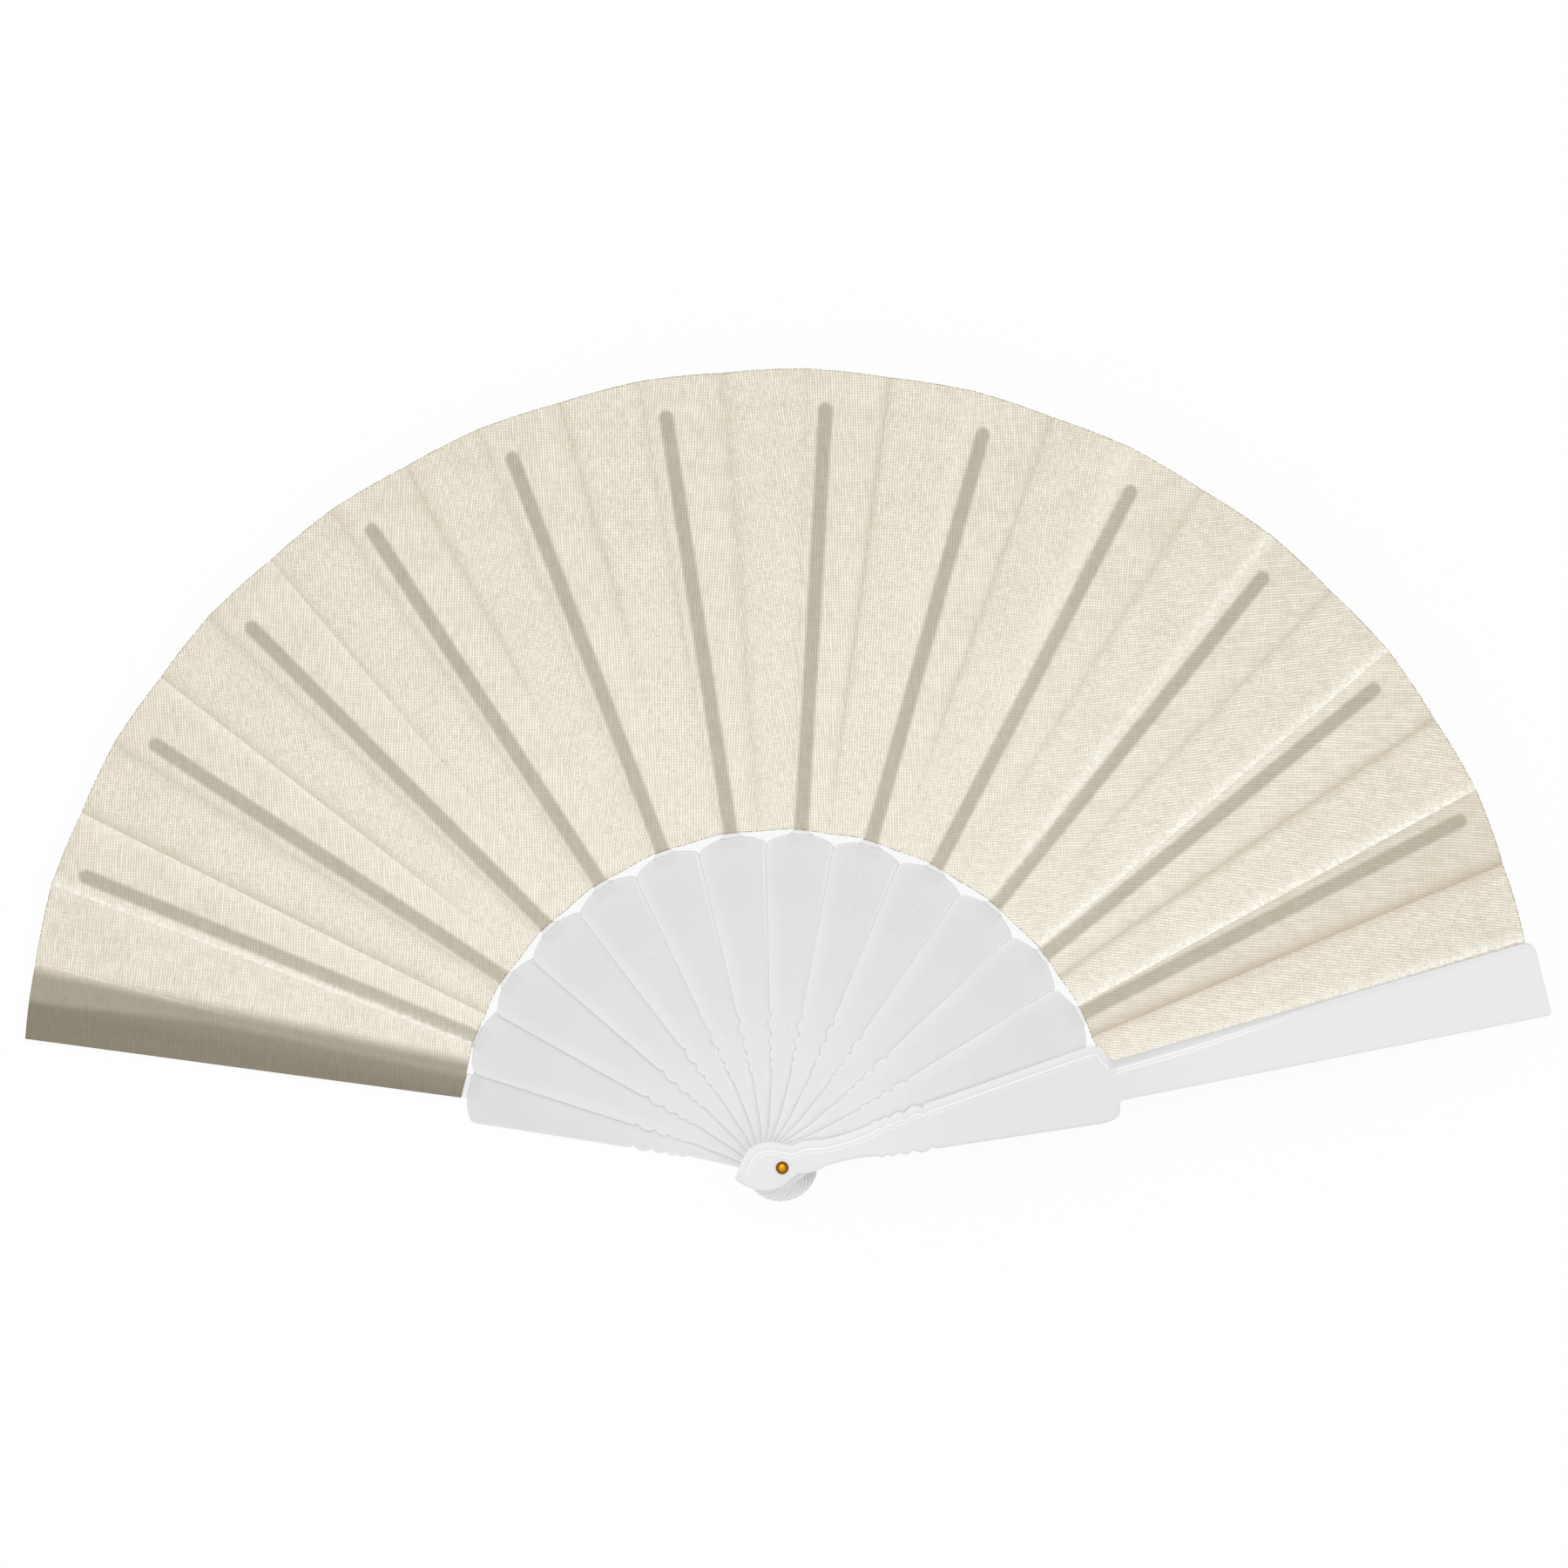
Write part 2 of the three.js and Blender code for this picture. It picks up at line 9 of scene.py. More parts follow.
import bpy
import numpy as np
from mathutils.geometry import tessellate_polygon
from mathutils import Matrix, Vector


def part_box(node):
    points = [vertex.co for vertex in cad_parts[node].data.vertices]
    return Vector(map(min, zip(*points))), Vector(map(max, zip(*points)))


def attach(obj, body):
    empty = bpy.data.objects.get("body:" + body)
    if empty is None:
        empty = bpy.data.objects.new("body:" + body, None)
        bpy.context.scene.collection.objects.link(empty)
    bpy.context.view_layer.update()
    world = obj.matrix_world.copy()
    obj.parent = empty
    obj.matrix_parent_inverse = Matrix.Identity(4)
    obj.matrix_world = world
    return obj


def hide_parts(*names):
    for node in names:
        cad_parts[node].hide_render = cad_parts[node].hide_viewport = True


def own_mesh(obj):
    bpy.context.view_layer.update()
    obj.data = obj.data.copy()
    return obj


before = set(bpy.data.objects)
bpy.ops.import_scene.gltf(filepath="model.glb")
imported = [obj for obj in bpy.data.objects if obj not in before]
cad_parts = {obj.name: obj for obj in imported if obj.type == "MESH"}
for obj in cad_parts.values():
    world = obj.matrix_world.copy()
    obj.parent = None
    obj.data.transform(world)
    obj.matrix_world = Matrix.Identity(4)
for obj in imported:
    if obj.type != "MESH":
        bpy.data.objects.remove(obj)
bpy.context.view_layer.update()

# Rear guard
# The lowest stick, which the fan lies on: a thick moulding with an inner stick's outline, and a
# blade that widens under the leaf. It lies on its outer face, with its inner face to the leaf.

MM = 0.001
stick_count = 12
open_angle = 154.0
leaf_start_angle = 170.7
pitch_angle = open_angle / (stick_count + 1)
blade_half_angle = 2.75
stick_lag = 1.1
lag_rise = 2
lag_fall = 5
last_crease_angle = 0.3

bead_row_top = 41.6
bead_count = 4
first_bead = 5.2
bead_ratio = 0.79
bead_swell = 0.22
bead_row_halves = (4.4, 5.1)
bead_row_length = first_bead * (1 - bead_ratio**bead_count) / (1 - bead_ratio)
bead_row_foot = bead_row_top - bead_row_length
body_foot = bead_row_top + 3.5

body_top = 92.1
body_top_half = 9.45
body_foot_half = 6.2
scallop_corner = 5.9
scallop_shoulder = 1.95
scallop_shoulder_half = 8.55
waist_half = 4.2
waist_radius = 14.0
stick_tail_half = 5.2
tab_half = 3.3
tab_root = 3.0
tab_end = 92.9

guard_thickness = 2.6
blade_recess = 0.4
rear_tail = 8.8
rear_body_turn = 1.65
rear_body_top = body_top - 2
rear_tab_end = 91.5
rear_blade_end = 213.8
rear_blade_shoulder = 99.0
rear_blade_shoulder_half = 5.75
free_edge_margin = 0.3
rivet_hole = 1.4
point_spacing = 0.4


def lag_shape(share):
    return share**lag_rise * (1 - share) ** lag_fall


def ridge_angle(i):
    """The crease on each stick. Friction holds the first sticks back, nearer the rear guard."""
    lag = stick_lag * lag_shape(i / (stick_count + 1)) / lag_shape(lag_rise / (lag_rise + lag_fall))
    return leaf_start_angle - i * pitch_angle + lag + last_crease_angle * (i > stick_count)


def bend(points, *controls, steps=16):
    """Adds a quadratic or cubic curve from the last point, through its controls, to the end."""
    hull = [np.array(points[-1], float)] + [np.array(c, float) for c in controls]
    order = len(hull) - 1
    for t in np.linspace(0, 1, steps + 1)[1:]:
        weights = [comb(order, k) * (1 - t) ** (order - k) * t**k for k in range(order + 1)]
        points.append(tuple(sum(w * p for w, p in zip(weights, hull))))


def add_beads(points, foot_half, top_half):
    """The beads of one edge, from the smallest at the waist to the largest under the body."""
    u = bead_row_foot
    for bead in reversed(range(bead_count)):
        length = first_bead * bead_ratio**bead
        half_at = lambda x: foot_half + (top_half - foot_half) * (x - bead_row_foot) / bead_row_length
        middle = u + length / 2
        u += length
        crest = (middle, half_at(middle) + 2 * bead_swell * length)
        bend(points, crest, (u, half_at(u)))


def stick_edge(tail, top):
    """One edge of a stick, from the tail's end to the tab."""
    turn = np.linspace(pi, pi / 2, 24)
    points = [(tail * cos(t), stick_tail_half * sin(t)) for t in turn]
    bend(points, (waist_radius * 0.4, stick_tail_half), (waist_radius * 0.6, waist_half),
         (waist_radius, waist_half))
    points.append((bead_row_foot, bead_row_halves[0]))
    add_beads(points, *bead_row_halves)
    bend(points, (bead_row_top + 0.5, body_foot_half), (body_foot, body_foot_half))
    points.append((top - scallop_corner, body_top_half))
    bend(points, (top - scallop_corner * 0.75, body_top_half + 0.15),
         (top - scallop_corner * 0.5, body_top_half + 0.4),
         (top - scallop_shoulder, scallop_shoulder_half))
    bend(points, (top - 0.5, scallop_shoulder_half * 0.7), (top, tab_half))
    return np.array(points)


def both_edges(outer_edge, leaf_edge):
    """A closed outline from the edges on the two sides of a stick."""
    return np.vstack([outer_edge * (1, -1), leaf_edge[:0:-1]])


def resampled(outline):
    """A closed outline with its points evenly spaced."""
    closed = np.array([*outline, outline[0]])
    lengths = np.hypot(*np.diff(closed, axis=0).T)
    along = np.concatenate([[0], np.cumsum(lengths)])
    places = np.linspace(0, along[-1], int(along[-1] / point_spacing), endpoint=False)
    return np.stack([np.interp(places, along, closed[:, k]) for k in (0, 1)], 1)


def inward(outline, reach):
    """Unit directions into a closed outline, averaged over that many points on each side."""
    along = np.roll(outline, -1, 0) - np.roll(outline, 1, 0)
    normal = np.stack([-along[:, 1], along[:, 0]], 1)
    normal /= np.hypot(*normal.T)[:, None]
    total = sum(np.roll(normal, shift, 0) for shift in range(-reach, reach + 1))
    return total / np.hypot(*total.T)[:, None]


def stacked(outline, section, reach):
    """Rings of a plate, each as far inside the outline and as high as its step in the section."""
    direction = inward(outline, reach)
    return [np.column_stack([outline + direction * d, np.full(len(outline), z)]) for d, z in section]


def rounded_section(foot, top, radius, foot_radius, steps=5):
    """An upright wall from the foot to a round upper edge, and a flat rim inside it."""
    chamfer = foot_radius * 0.3
    section = [(foot_radius, foot), (chamfer, foot + chamfer), (0.0, foot + foot_radius)]
    for turn in np.linspace(0, pi / 2, steps + 1):
        section.append((radius * (1 - cos(turn)), top - radius * (1 - sin(turn))))
    section.append((radius * 1.4, top))
    return section


def plate(rings, hole=None, hole_points=48):
    """Vertices and faces of a solid through rings stacked from the bottom up, with a round hole."""
    count = len(rings[0])
    vertices = [tuple(p) for ring in rings for p in ring]
    faces = []
    for level in range(len(rings) - 1):
        for i in range(count):
            a = level * count + i
            b = level * count + (i + 1) % count
            faces.append((a, b, b + count, a + count))
    circle = np.linspace(0, 2 * pi, hole_points, endpoint=False)
    round_edges = []
    for level, top in ((0, False), (len(rings) - 1, True)):
        loops = [[(x, y, 0.0) for x, y, _ in rings[level]]]
        index = [level * count + i for i in range(count)]
        if hole:
            height = float(np.mean(rings[level][:, 2]))
            round_edge = [(hole * cos(t), hole * sin(t), height) for t in circle]
            round_edges.append([len(vertices) + k for k in range(hole_points)])
            vertices += round_edge
            index += round_edges[-1]
            loops.append([(x, y, 0.0) for x, y, _ in round_edge])
        flat = [p for loop in loops for p in loop]
        for a, b, c in tessellate_polygon(loops):
            pa, pb, pc = flat[a], flat[b], flat[c]
            turn = (pb[0] - pa[0]) * (pc[1] - pa[1]) - (pb[1] - pa[1]) * (pc[0] - pa[0])
            if (turn > 0) != top:
                b, c = c, b
            faces.append((index[a], index[b], index[c]))
    if hole:
        below, above = round_edges
        for i in range(hole_points):
            j = (i + 1) % hole_points
            faces.append((below[j], below[i], above[i], above[j]))
    return np.array(vertices, float), faces


def placed(name, data):
    """An object in the scene, from its mesh, lamp or camera."""
    made = bpy.data.objects.new(name, data)
    bpy.context.scene.collection.objects.link(made)
    return made


def smooth_object(name, mesh, sharp_angle):
    mesh.shade_smooth()
    mesh.set_sharp_from_angle(angle=radians(sharp_angle))
    return placed(name, mesh)


def turned(x, y, angle):
    c, s = cos(radians(angle)), sin(radians(angle))
    return x * c - y * s, x * s + y * c


def solid_object(name, vertices, faces, sharp_angle):
    mesh = bpy.data.meshes.new(name)
    mesh.from_pydata(vertices, [], faces)
    return smooth_object(name, mesh, sharp_angle)


def moulding(name, shells, angle, level, turned_over=None):
    """An object from shells in a stick's own frame, laid at its angle and level in the fan."""
    places = np.vstack([vertices for vertices, _ in shells])
    faces = []
    first = 0
    for vertices, shell_faces in shells:
        faces += [tuple(first + i for i in face) for face in shell_faces]
        first += len(vertices)
    laid = places.copy()
    if turned_over:
        laid[:, 1] *= -1
        laid[:, 2] = turned_over - laid[:, 2]
    world = np.stack([*turned(laid[:, 0], laid[:, 1], angle), laid[:, 2] + level], 1) * MM
    made = solid_object(name, world.tolist(), faces, 42)
    place = made.data.attributes.new("moulding_place", "FLOAT_VECTOR", "POINT")
    place.data.foreach_set("vector", places.astype(np.float32).ravel())
    return made


def linear(red, green, blue):
    """A colour written 0 to 255, as the shader nodes take it."""
    channels = [c / 255 for c in (red, green, blue)]
    return (*[c / 12.92 if c <= 0.04045 else ((c + 0.055) / 1.055) ** 2.4 for c in channels], 1.0)


def grey(level):
    return linear(level, level, level)


def feed(tree, node, inputs):
    """Joins or sets the inputs of a node."""
    for key, value in inputs.items():
        if isinstance(value, bpy.types.NodeSocket):
            tree.links.new(value, node.inputs[key])
        else:
            node.inputs[key].default_value = value


def wired(tree, kind, inputs=(), **settings):
    """A new node with its settings made and its inputs joined or set."""
    made = tree.nodes.new(kind)
    for name, value in settings.items():
        setattr(made, name, value)
    feed(tree, made, dict(inputs))
    return made


def maths(tree, operation, *values):
    return wired(tree, "ShaderNodeMath", dict(enumerate(values)), operation=operation).outputs[0]


def product(tree, first, *others):
    for value in others:
        first = maths(tree, "MULTIPLY", first, value)
    return first


def minus(tree, first, second):
    return maths(tree, "SUBTRACT", first, second)


def scaled(tree, value, low, high, ends=(0.0, 1.0), kind="LINEAR"):
    """The first end at low and the second end at high, and the same beyond them."""
    inputs = {"Value": value, "From Min": low, "From Max": high, "To Min": ends[0], "To Max": ends[1]}
    return wired(tree, "ShaderNodeMapRange", inputs, interpolation_type=kind).outputs["Result"]


def stepped(tree, value, low, high):
    """0 below low and 1 above high, smooth between."""
    return scaled(tree, value, low, high, kind="SMOOTHSTEP")


def parts_of(tree, vector):
    return wired(tree, "ShaderNodeSeparateXYZ", {0: vector}).outputs


def vector_of(tree, *parts):
    return wired(tree, "ShaderNodeCombineXYZ", dict(enumerate(parts))).outputs[0]


def length_of(tree, vector):
    return wired(tree, "ShaderNodeVectorMath", {0: vector}, operation="LENGTH").outputs["Value"]


def turned_by(tree, vector, angle):
    inputs = {"Vector": vector, "Angle": angle}
    return wired(tree, "ShaderNodeVectorRotate", inputs, rotation_type="Z_AXIS").outputs[0]


def mixed(tree, factor, first, second):
    """A colour between two colours."""
    made = wired(tree, "ShaderNodeMix", {0: factor, 6: first, 7: second}, data_type="RGBA")
    return made.outputs[2]


def bumped(tree, height, strength, distance):
    inputs = {"Height": height, "Strength": strength, "Distance": distance}
    return wired(tree, "ShaderNodeBump", inputs).outputs[0]


def noise_at(tree, place, scale, detail=2.0, roughness=0.5):
    inputs = {"Vector": place, "Scale": scale, "Detail": detail, "Roughness": roughness}
    return wired(tree, "ShaderNodeTexNoise", inputs).outputs[0]


def attribute_at(tree, name):
    """The parts of a place that the mesh carries."""
    stored = wired(tree, "ShaderNodeAttribute", attribute_name=name).outputs["Vector"]
    return stored, parts_of(tree, stored)


def new_material(name):
    material = bpy.data.materials.new(name)
    material.use_nodes = True
    tree = material.node_tree
    return material, tree, tree.nodes["Principled BSDF"]


def new_group(name, inputs, outputs):
    """An empty shader group with its named inputs and outputs."""
    tree = bpy.data.node_groups.new(name, "ShaderNodeTree")
    for title in inputs:
        kind = "NodeSocketVector" if title == "Vector" else "NodeSocketFloat"
        tree.interface.new_socket(name=title, in_out="INPUT", socket_type=kind)
    for title in outputs:
        tree.interface.new_socket(name=title, in_out="OUTPUT", socket_type="NodeSocketFloat")
    return tree, tree.nodes.new("NodeGroupInput").outputs, tree.nodes.new("NodeGroupOutput")


# Moulded polystyrene: faint cloudiness from the flow of the melt, and fine handling marks.
moulded_skin, given, result = new_group(
    "Moulded skin", ["Vector", "Cloud Scale", "Mark Scale"], ["Cloud", "Marks"])
feed(moulded_skin, result, {
    "Cloud": noise_at(moulded_skin, given["Vector"], given["Cloud Scale"]),
    "Marks": noise_at(moulded_skin, given["Vector"], given["Mark Scale"], 3.0, 0.6)})

plastic_ior = 1.46
mark_scale = 160.0
marks_low, marks_high = 0.3, 0.7
skin_bump, skin_depth = 0.1, 0.2 * MM


def skin_on(tree, shader, cloud_scale, low_gloss, high_gloss):
    """Puts the moulded skin on a plastic's gloss and normal, and gives back its cloudiness."""
    place = wired(tree, "ShaderNodeTexCoord").outputs["Object"]
    inputs = {"Vector": place, "Cloud Scale": cloud_scale, "Mark Scale": mark_scale}
    skin = wired(tree, "ShaderNodeGroup", inputs, node_tree=moulded_skin)
    gloss = scaled(tree, skin.outputs["Marks"], marks_low, marks_high, (low_gloss, high_gloss))
    normal = bumped(tree, skin.outputs["Cloud"], skin_bump, skin_depth)
    feed(tree, shader, {"Roughness": gloss, "Normal": normal, "IOR": plastic_ior})
    return skin.outputs["Cloud"]


thin_plastic = grey(226)
painted_backlit_plastic = grey(234)
dull_plastic = grey(220)
# Colour of painted light on the plastic's edges, joints, bevel and crests
painted_light_plastic = grey(252)
# Light that enters the thin plastic comes out again about a millimetre away.
light_share, light_depth = 0.5, 1.2 * MM
pile_radius, pile_clear_radius = 18.0, 62.0
neighbour_foot_half = 5.4
painted_joint_light, painted_edge_light = 0.52, 0.6
patch_centre = (body_top - 13, 1.5, 0.5)
patch_radius, patch_depth = 15.0, 0.4
stick_axis_offset = 1.5


def beside_neighbour(tree, place, angle, side):
    """How far a place lies past the edge of a stick turned that much from this one."""
    split = parts_of(tree, turned_by(tree, place, radians(angle)))
    ends = (neighbour_foot_half, body_top_half)
    half = scaled(tree, split["X"], bead_row_top - 0.6, body_top - scallop_corner, ends)
    return minus(tree, product(tree, split["Y"], side), half)


def stick_plastic_named(name, neighbours, above):
    """White plastic thin enough to let light through, painted whitest where other sticks back it.

    Painted light along the edges means hardly a line shows where the next stick lies on it.
    """
    material, tree, shader = new_material(name)
    cloud = skin_on(tree, shader, 60.0, 0.26, 0.34)
    place, at = attribute_at(tree, "moulding_place")
    # Near the rivet all the sticks lie in a pile, which gets painted light as well.
    radius = length_of(tree, place)
    painted_backlight = product(tree, stepped(tree, radius, pile_clear_radius, pile_radius), 0.8)
    for layers, backlight_share in neighbours:
        past_edge = beside_neighbour(tree, place, -pitch_angle * layers, -1.0)
        cover = product(tree, stepped(tree, past_edge, 3.2, -1.6), backlight_share)
        painted_backlight = maths(tree, "MAXIMUM", cover, painted_backlight)
    tint = mixed(tree, painted_backlight, thin_plastic, painted_backlit_plastic)
    # A dull patch lies under the scalloped top, where the tab meets the body.
    from_centre = wired(tree, "ShaderNodeVectorMath", {0: place, 1: patch_centre}, operation="SUBTRACT")
    away = length_of(tree, from_centre.outputs[0])
    patch = product(tree, stepped(tree, away, patch_radius, 0.0), patch_depth)
    dull = maths(tree, "MULTIPLY_ADD", cloud, 0.12, patch)
    tint = mixed(tree, dull, tint, dull_plastic)
    # Painted light beside the stick above and on its own upright edges lifts the shade there.
    angle_above, side_above, top_face, edge_foot = above
    painted_joint = stepped(tree, beside_neighbour(tree, place, angle_above, side_above), 1.1, 0.1)
    painted_joint = product(tree, painted_joint, stepped(tree, radius, 15.0, 45.0), painted_joint_light)
    edge = product(tree, stepped(tree, at["Z"], top_face, edge_foot), painted_edge_light)
    lit = maths(tree, "MAXIMUM", painted_joint, edge)
    feed(tree, shader, {
        "Base Color": mixed(tree, lit, tint, painted_light_plastic), "Subsurface Weight": light_share,
        "Subsurface Radius": (1.0, 1.0, 1.0), "Subsurface Scale": light_depth})
    return material


to_first_stick = pitch_angle - blade_half_angle + stick_axis_offset
thick_inner_face = stick_plastic_named(
    "White plastic of the rear guard", [], (-to_first_stick, -1.0, 0.0, 0.35))


def on_rear_body(u, v):
    """A point of the rear guard's body, seen along its blade."""
    return turned(u, v, rear_body_turn)


rear_edge = stick_edge(rear_tail, rear_body_top)
rear_outline = resampled([on_rear_body(u, v) for u, v in both_edges(rear_edge, rear_edge)])
rear_section = [
    (0.3, 0.0), (0.1, 0.08), (0.0, 0.3), (0.0, 1.0), (0.06, 1.25), (0.2, 1.55),
    (0.42, 1.9), (0.7, 2.25), (1.0, 2.5), (1.2, 2.58), (1.4, 2.6), (1.6, 2.6),
]
blade_slope = tan(radians(blade_half_angle))
leaf_side_end = rear_blade_shoulder_half + (rear_blade_end - rear_blade_shoulder) * blade_slope
outer_side_end = free_edge_margin - rear_blade_end * blade_slope
blade_tip_corner = 3.6
outer_root = on_rear_body(rear_tab_end, -tab_half)
points = [
    on_rear_body(rear_body_top - tab_root, -tab_half), outer_root,
    (rear_blade_end - 1, outer_side_end),
]
bend(points, (rear_blade_end, outer_side_end), (rear_blade_end, outer_side_end + 1))
points.append((rear_blade_end, leaf_side_end - blade_tip_corner))
corner_foot = rear_blade_end - blade_tip_corner
bend(points, (rear_blade_end, leaf_side_end - 1), (corner_foot, leaf_side_end - 1.2))
points += [
    (rear_blade_shoulder, rear_blade_shoulder_half),
    on_rear_body(rear_tab_end, tab_half), on_rear_body(rear_body_top - tab_root, tab_half),
]
rear_blade = resampled(points)
rear_blade_top = blade_recess + 1.6
rear_guard = moulding(
    "rear_guard_moulding",
    [plate(stacked(rear_outline, rear_section, 2), rivet_hole),
     plate(stacked(rear_blade, rounded_section(blade_recess, rear_blade_top, 0.5, 0.15), 2))],
    leaf_start_angle - blade_half_angle, 0.0, turned_over=guard_thickness)
rear_guard.data.materials.append(thick_inner_face)
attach(rear_guard, "rear_guard")
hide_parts("rear_guard")

# Inner sticks
# Twelve thin mouldings stacked on the rivet. Each has a round tail, a waist, a bead row, a body
# with a scalloped top, and a narrow rib that the cloth is glued to.

stick_thickness = 1.0
stick_tail = 10.2
rib_thickness = 0.6
rib_half = 2.2
rib_end = 212.8


def stick_angle(i):
    return ridge_angle(i) - stick_axis_offset


edge = stick_edge(stick_tail, body_top)
body_outline = resampled(both_edges(edge, edge))
points = [(body_top - tab_root, -tab_half), (tab_end - 0.6, -tab_half), (tab_end, -rib_half)]
for t in np.linspace(-pi / 2, pi / 2, 17):
    points.append((rib_end - rib_half + rib_half * cos(t), rib_half * sin(t)))
points += [(tab_end, rib_half), (tab_end - 0.6, tab_half), (body_top - tab_root, tab_half)]
rib_outline = resampled(points)
stick_shells = [
    plate(stacked(body_outline, rounded_section(0.0, stick_thickness, 0.38, 0.12), 1), rivet_hole),
    plate(stacked(rib_outline, rounded_section(0.0, rib_thickness, 0.18, 0.08, steps=3), 1)),
]
stick_plastic = stick_plastic_named(
    "Thin white stick plastic", [(1, 0.75), (2, 1.0)], (pitch_angle, 1.0, 1.0, 0.65))
for i in range(1, stick_count + 1):
    body_name = f"stick_{i:02d}"
    stick_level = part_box(body_name)[0].z / MM
    stick = moulding(f"{body_name}_moulding", stick_shells, stick_angle(i), stick_level)
    stick.data.materials.append(stick_plastic)
    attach(stick, body_name)
    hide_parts(body_name)

# Leaf
# One piece of ecru plain-weave cloth, pleated and glued to the guards' blades and the sticks'
# ribs. It is cut into its panels and folds here, because each of them follows its own stick.

leaf_inner_radius = 93.3
leaf_inner_drop = 1.8
leaf_inner_drop_angle = 20.0
leaf_outer_radius = 221.5
leaf_end_drop = 7.0
leaf_end_power = 5.0
rim_wave = 0.3
cloth_thickness = 0.15
crease_width = 1.6
ridge_rise = 0.7
valley_drop = 0.6
ripple = 0.16
across_steps = 34
along_steps = 52

pleat = bpy.data.node_groups.new("Pleat of the leaf", "GeometryNodeTree")
crease_parts = ["Angle", "Crease", "Tone", "Spread", "Line", "Fade", "Rim", "Cut"]
pleat_inputs = [f"{side} {part}" for side in ("From", "To") for part in crease_parts]
pleat_inputs += ["From Inner Angle", "Rib Angle", "Level", "Climb", "Painted Shade", "Weave Turn",
                 "Warp Share", "Ripple", "Seed"]
pleat_inputs = dict.fromkeys(pleat_inputs, 0) | {
    "Inner Radius": leaf_inner_radius, "Inner Drop": leaf_inner_drop,
    "Inner Drop Start": radians(leaf_start_angle - leaf_inner_drop_angle),
    "Inner Drop Angle": radians(leaf_inner_drop_angle),
    "Outer Radius": leaf_outer_radius, "End Drop": leaf_end_drop, "End Power": leaf_end_power,
    "Middle Angle": radians(leaf_start_angle - open_angle / 2),
    "Half Opening": radians(open_angle / 2), "Crease Width": crease_width,
}
pleat_socket = {}
for title, value in pleat_inputs.items():
    socket = pleat.interface.new_socket(name=title, in_out="INPUT", socket_type="NodeSocketFloat")
    socket.default_value = value
    pleat_socket[title] = socket.identifier
socket = pleat.interface.new_socket(name="Cloth", in_out="INPUT", socket_type="NodeSocketMaterial")
pleat_socket["Cloth"] = socket.identifier
pleat.interface.new_socket(name="Geometry", in_out="OUTPUT", socket_type="NodeSocketGeometry")
given = pleat.nodes.new("NodeGroupInput").outputs


def sum_of(total, *others):
    for value in others:
        total = maths(pleat, "ADD", total, value)
    return total


def product_of(*values):
    return product(pleat, *values)


def less(first, second):
    return minus(pleat, first, second)


def over(first, second):
    return maths(pleat, "DIVIDE", first, second)


grid = wired(
    pleat, "GeometryNodeMeshGrid",
    {"Size X": 1.0, "Size Y": 1.0, "Vertices X": across_steps + 1, "Vertices Y": along_steps + 1})
at = parts_of(pleat, wired(pleat, "GeometryNodeInputPosition").outputs[0])
# The mesh is finest at the creases.
even = sum_of(at["X"], 0.5)
share = less(0.5, product_of(maths(pleat, "COSINE", product_of(even, pi)), 0.5))
along = sum_of(at["Y"], 0.5)
span = less(given["To Angle"], given["From Angle"])
plain_angle = sum_of(given["From Angle"], product_of(span, share))
from_middle = over(less(plain_angle, given["Middle Angle"]), given["Half Opening"])
off_middle = maths(pleat, "ABSOLUTE", from_middle)
from_rim = product_of(given["From Rim"], less(1.0, share))
rim = product_of(sum_of(from_rim, product_of(given["To Rim"], share)), rim_wave)
end_drop = product_of(maths(pleat, "POWER", off_middle, given["End Power"]), given["End Drop"])
outer = sum_of(less(given["Outer Radius"], end_drop), rim)
dropping = maths(
    pleat, "MAXIMUM", over(less(plain_angle, given["Inner Drop Start"]), given["Inner Drop Angle"]), 0.0)
inner = sum_of(less(given["Inner Radius"], product_of(dropping, given["Inner Drop"])), rim)
depth = less(outer, inner)
radius = sum_of(inner, product_of(depth, along))
# A free edge is straight, and it needn't point at the rivet.
nearness = over(less(over(outer, radius), 1.0), less(over(outer, inner), 1.0))
lean = product_of(less(given["From Inner Angle"], given["From Angle"]), nearness, less(1.0, share))
angle = sum_of(plain_angle, lean)
width = product_of(maths(pleat, "ABSOLUTE", span), radius)
past_from = product_of(width, share)
crease_distances = [("From ", past_from), ("To ", less(width, past_from))]


def near(distance, reach, power=1.0):
    """1 on a crease, falling away with the distance from it."""
    return maths(pleat, "EXPONENT", product_of(maths(pleat, "POWER", over(distance, reach), power), -1.0))


def at_angle(angle):
    """The two level parts of the place at this point's radius."""
    return [product_of(radius, maths(pleat, part, angle)) for part in ("COSINE", "SINE")]


grown = sum_of(product_of(stepped(pleat, along, -0.1, 0.6), 0.6), 0.4)
rises = [
    product_of(near(distance, given["Crease Width"]), given[side + "Crease"])
    for side, distance in crease_distances]
crease = product_of(sum_of(*rises), grown)
flat_place = at_angle(angle)
on_leaf = vector_of(pleat, *flat_place)
inputs = {"Vector": on_leaf, "W": given["Seed"], "Scale": 0.06, "Detail": 1.0}
rippled = wired(pleat, "ShaderNodeTexNoise", inputs, noise_dimensions="4D").outputs[0]
held = product_of(even, less(1.0, even), 4.0)
wrinkle = product_of(less(rippled, 0.5), 2.0, given["Ripple"], held)
height = sum_of(given["Level"], product_of(given["Climb"], share), crease, wrinkle)
place = vector_of(pleat, *flat_place, height)
in_metres = wired(pleat, "ShaderNodeVectorMath", {0: place, "Scale": MM}, operation="SCALE").outputs[0]

from_rib = less(angle, given["Rib Angle"])
far = 60.0
side_cuts = [
    sum_of(distance, product_of(less(1.0, given[side + "Cut"]), far))
    for side, distance in crease_distances]
end_cut = product_of(depth, maths(pleat, "MINIMUM", along, less(1.0, along)))
turned_at = parts_of(pleat, turned_by(pleat, on_leaf, given["Weave Turn"]))


def kept(side):
    """1 at the rim, and 0 nearer the rivet than where a crease's painted light and shade end."""
    return stepped(pleat, less(along, given[side + "Fade"]), -0.2, 0.2)


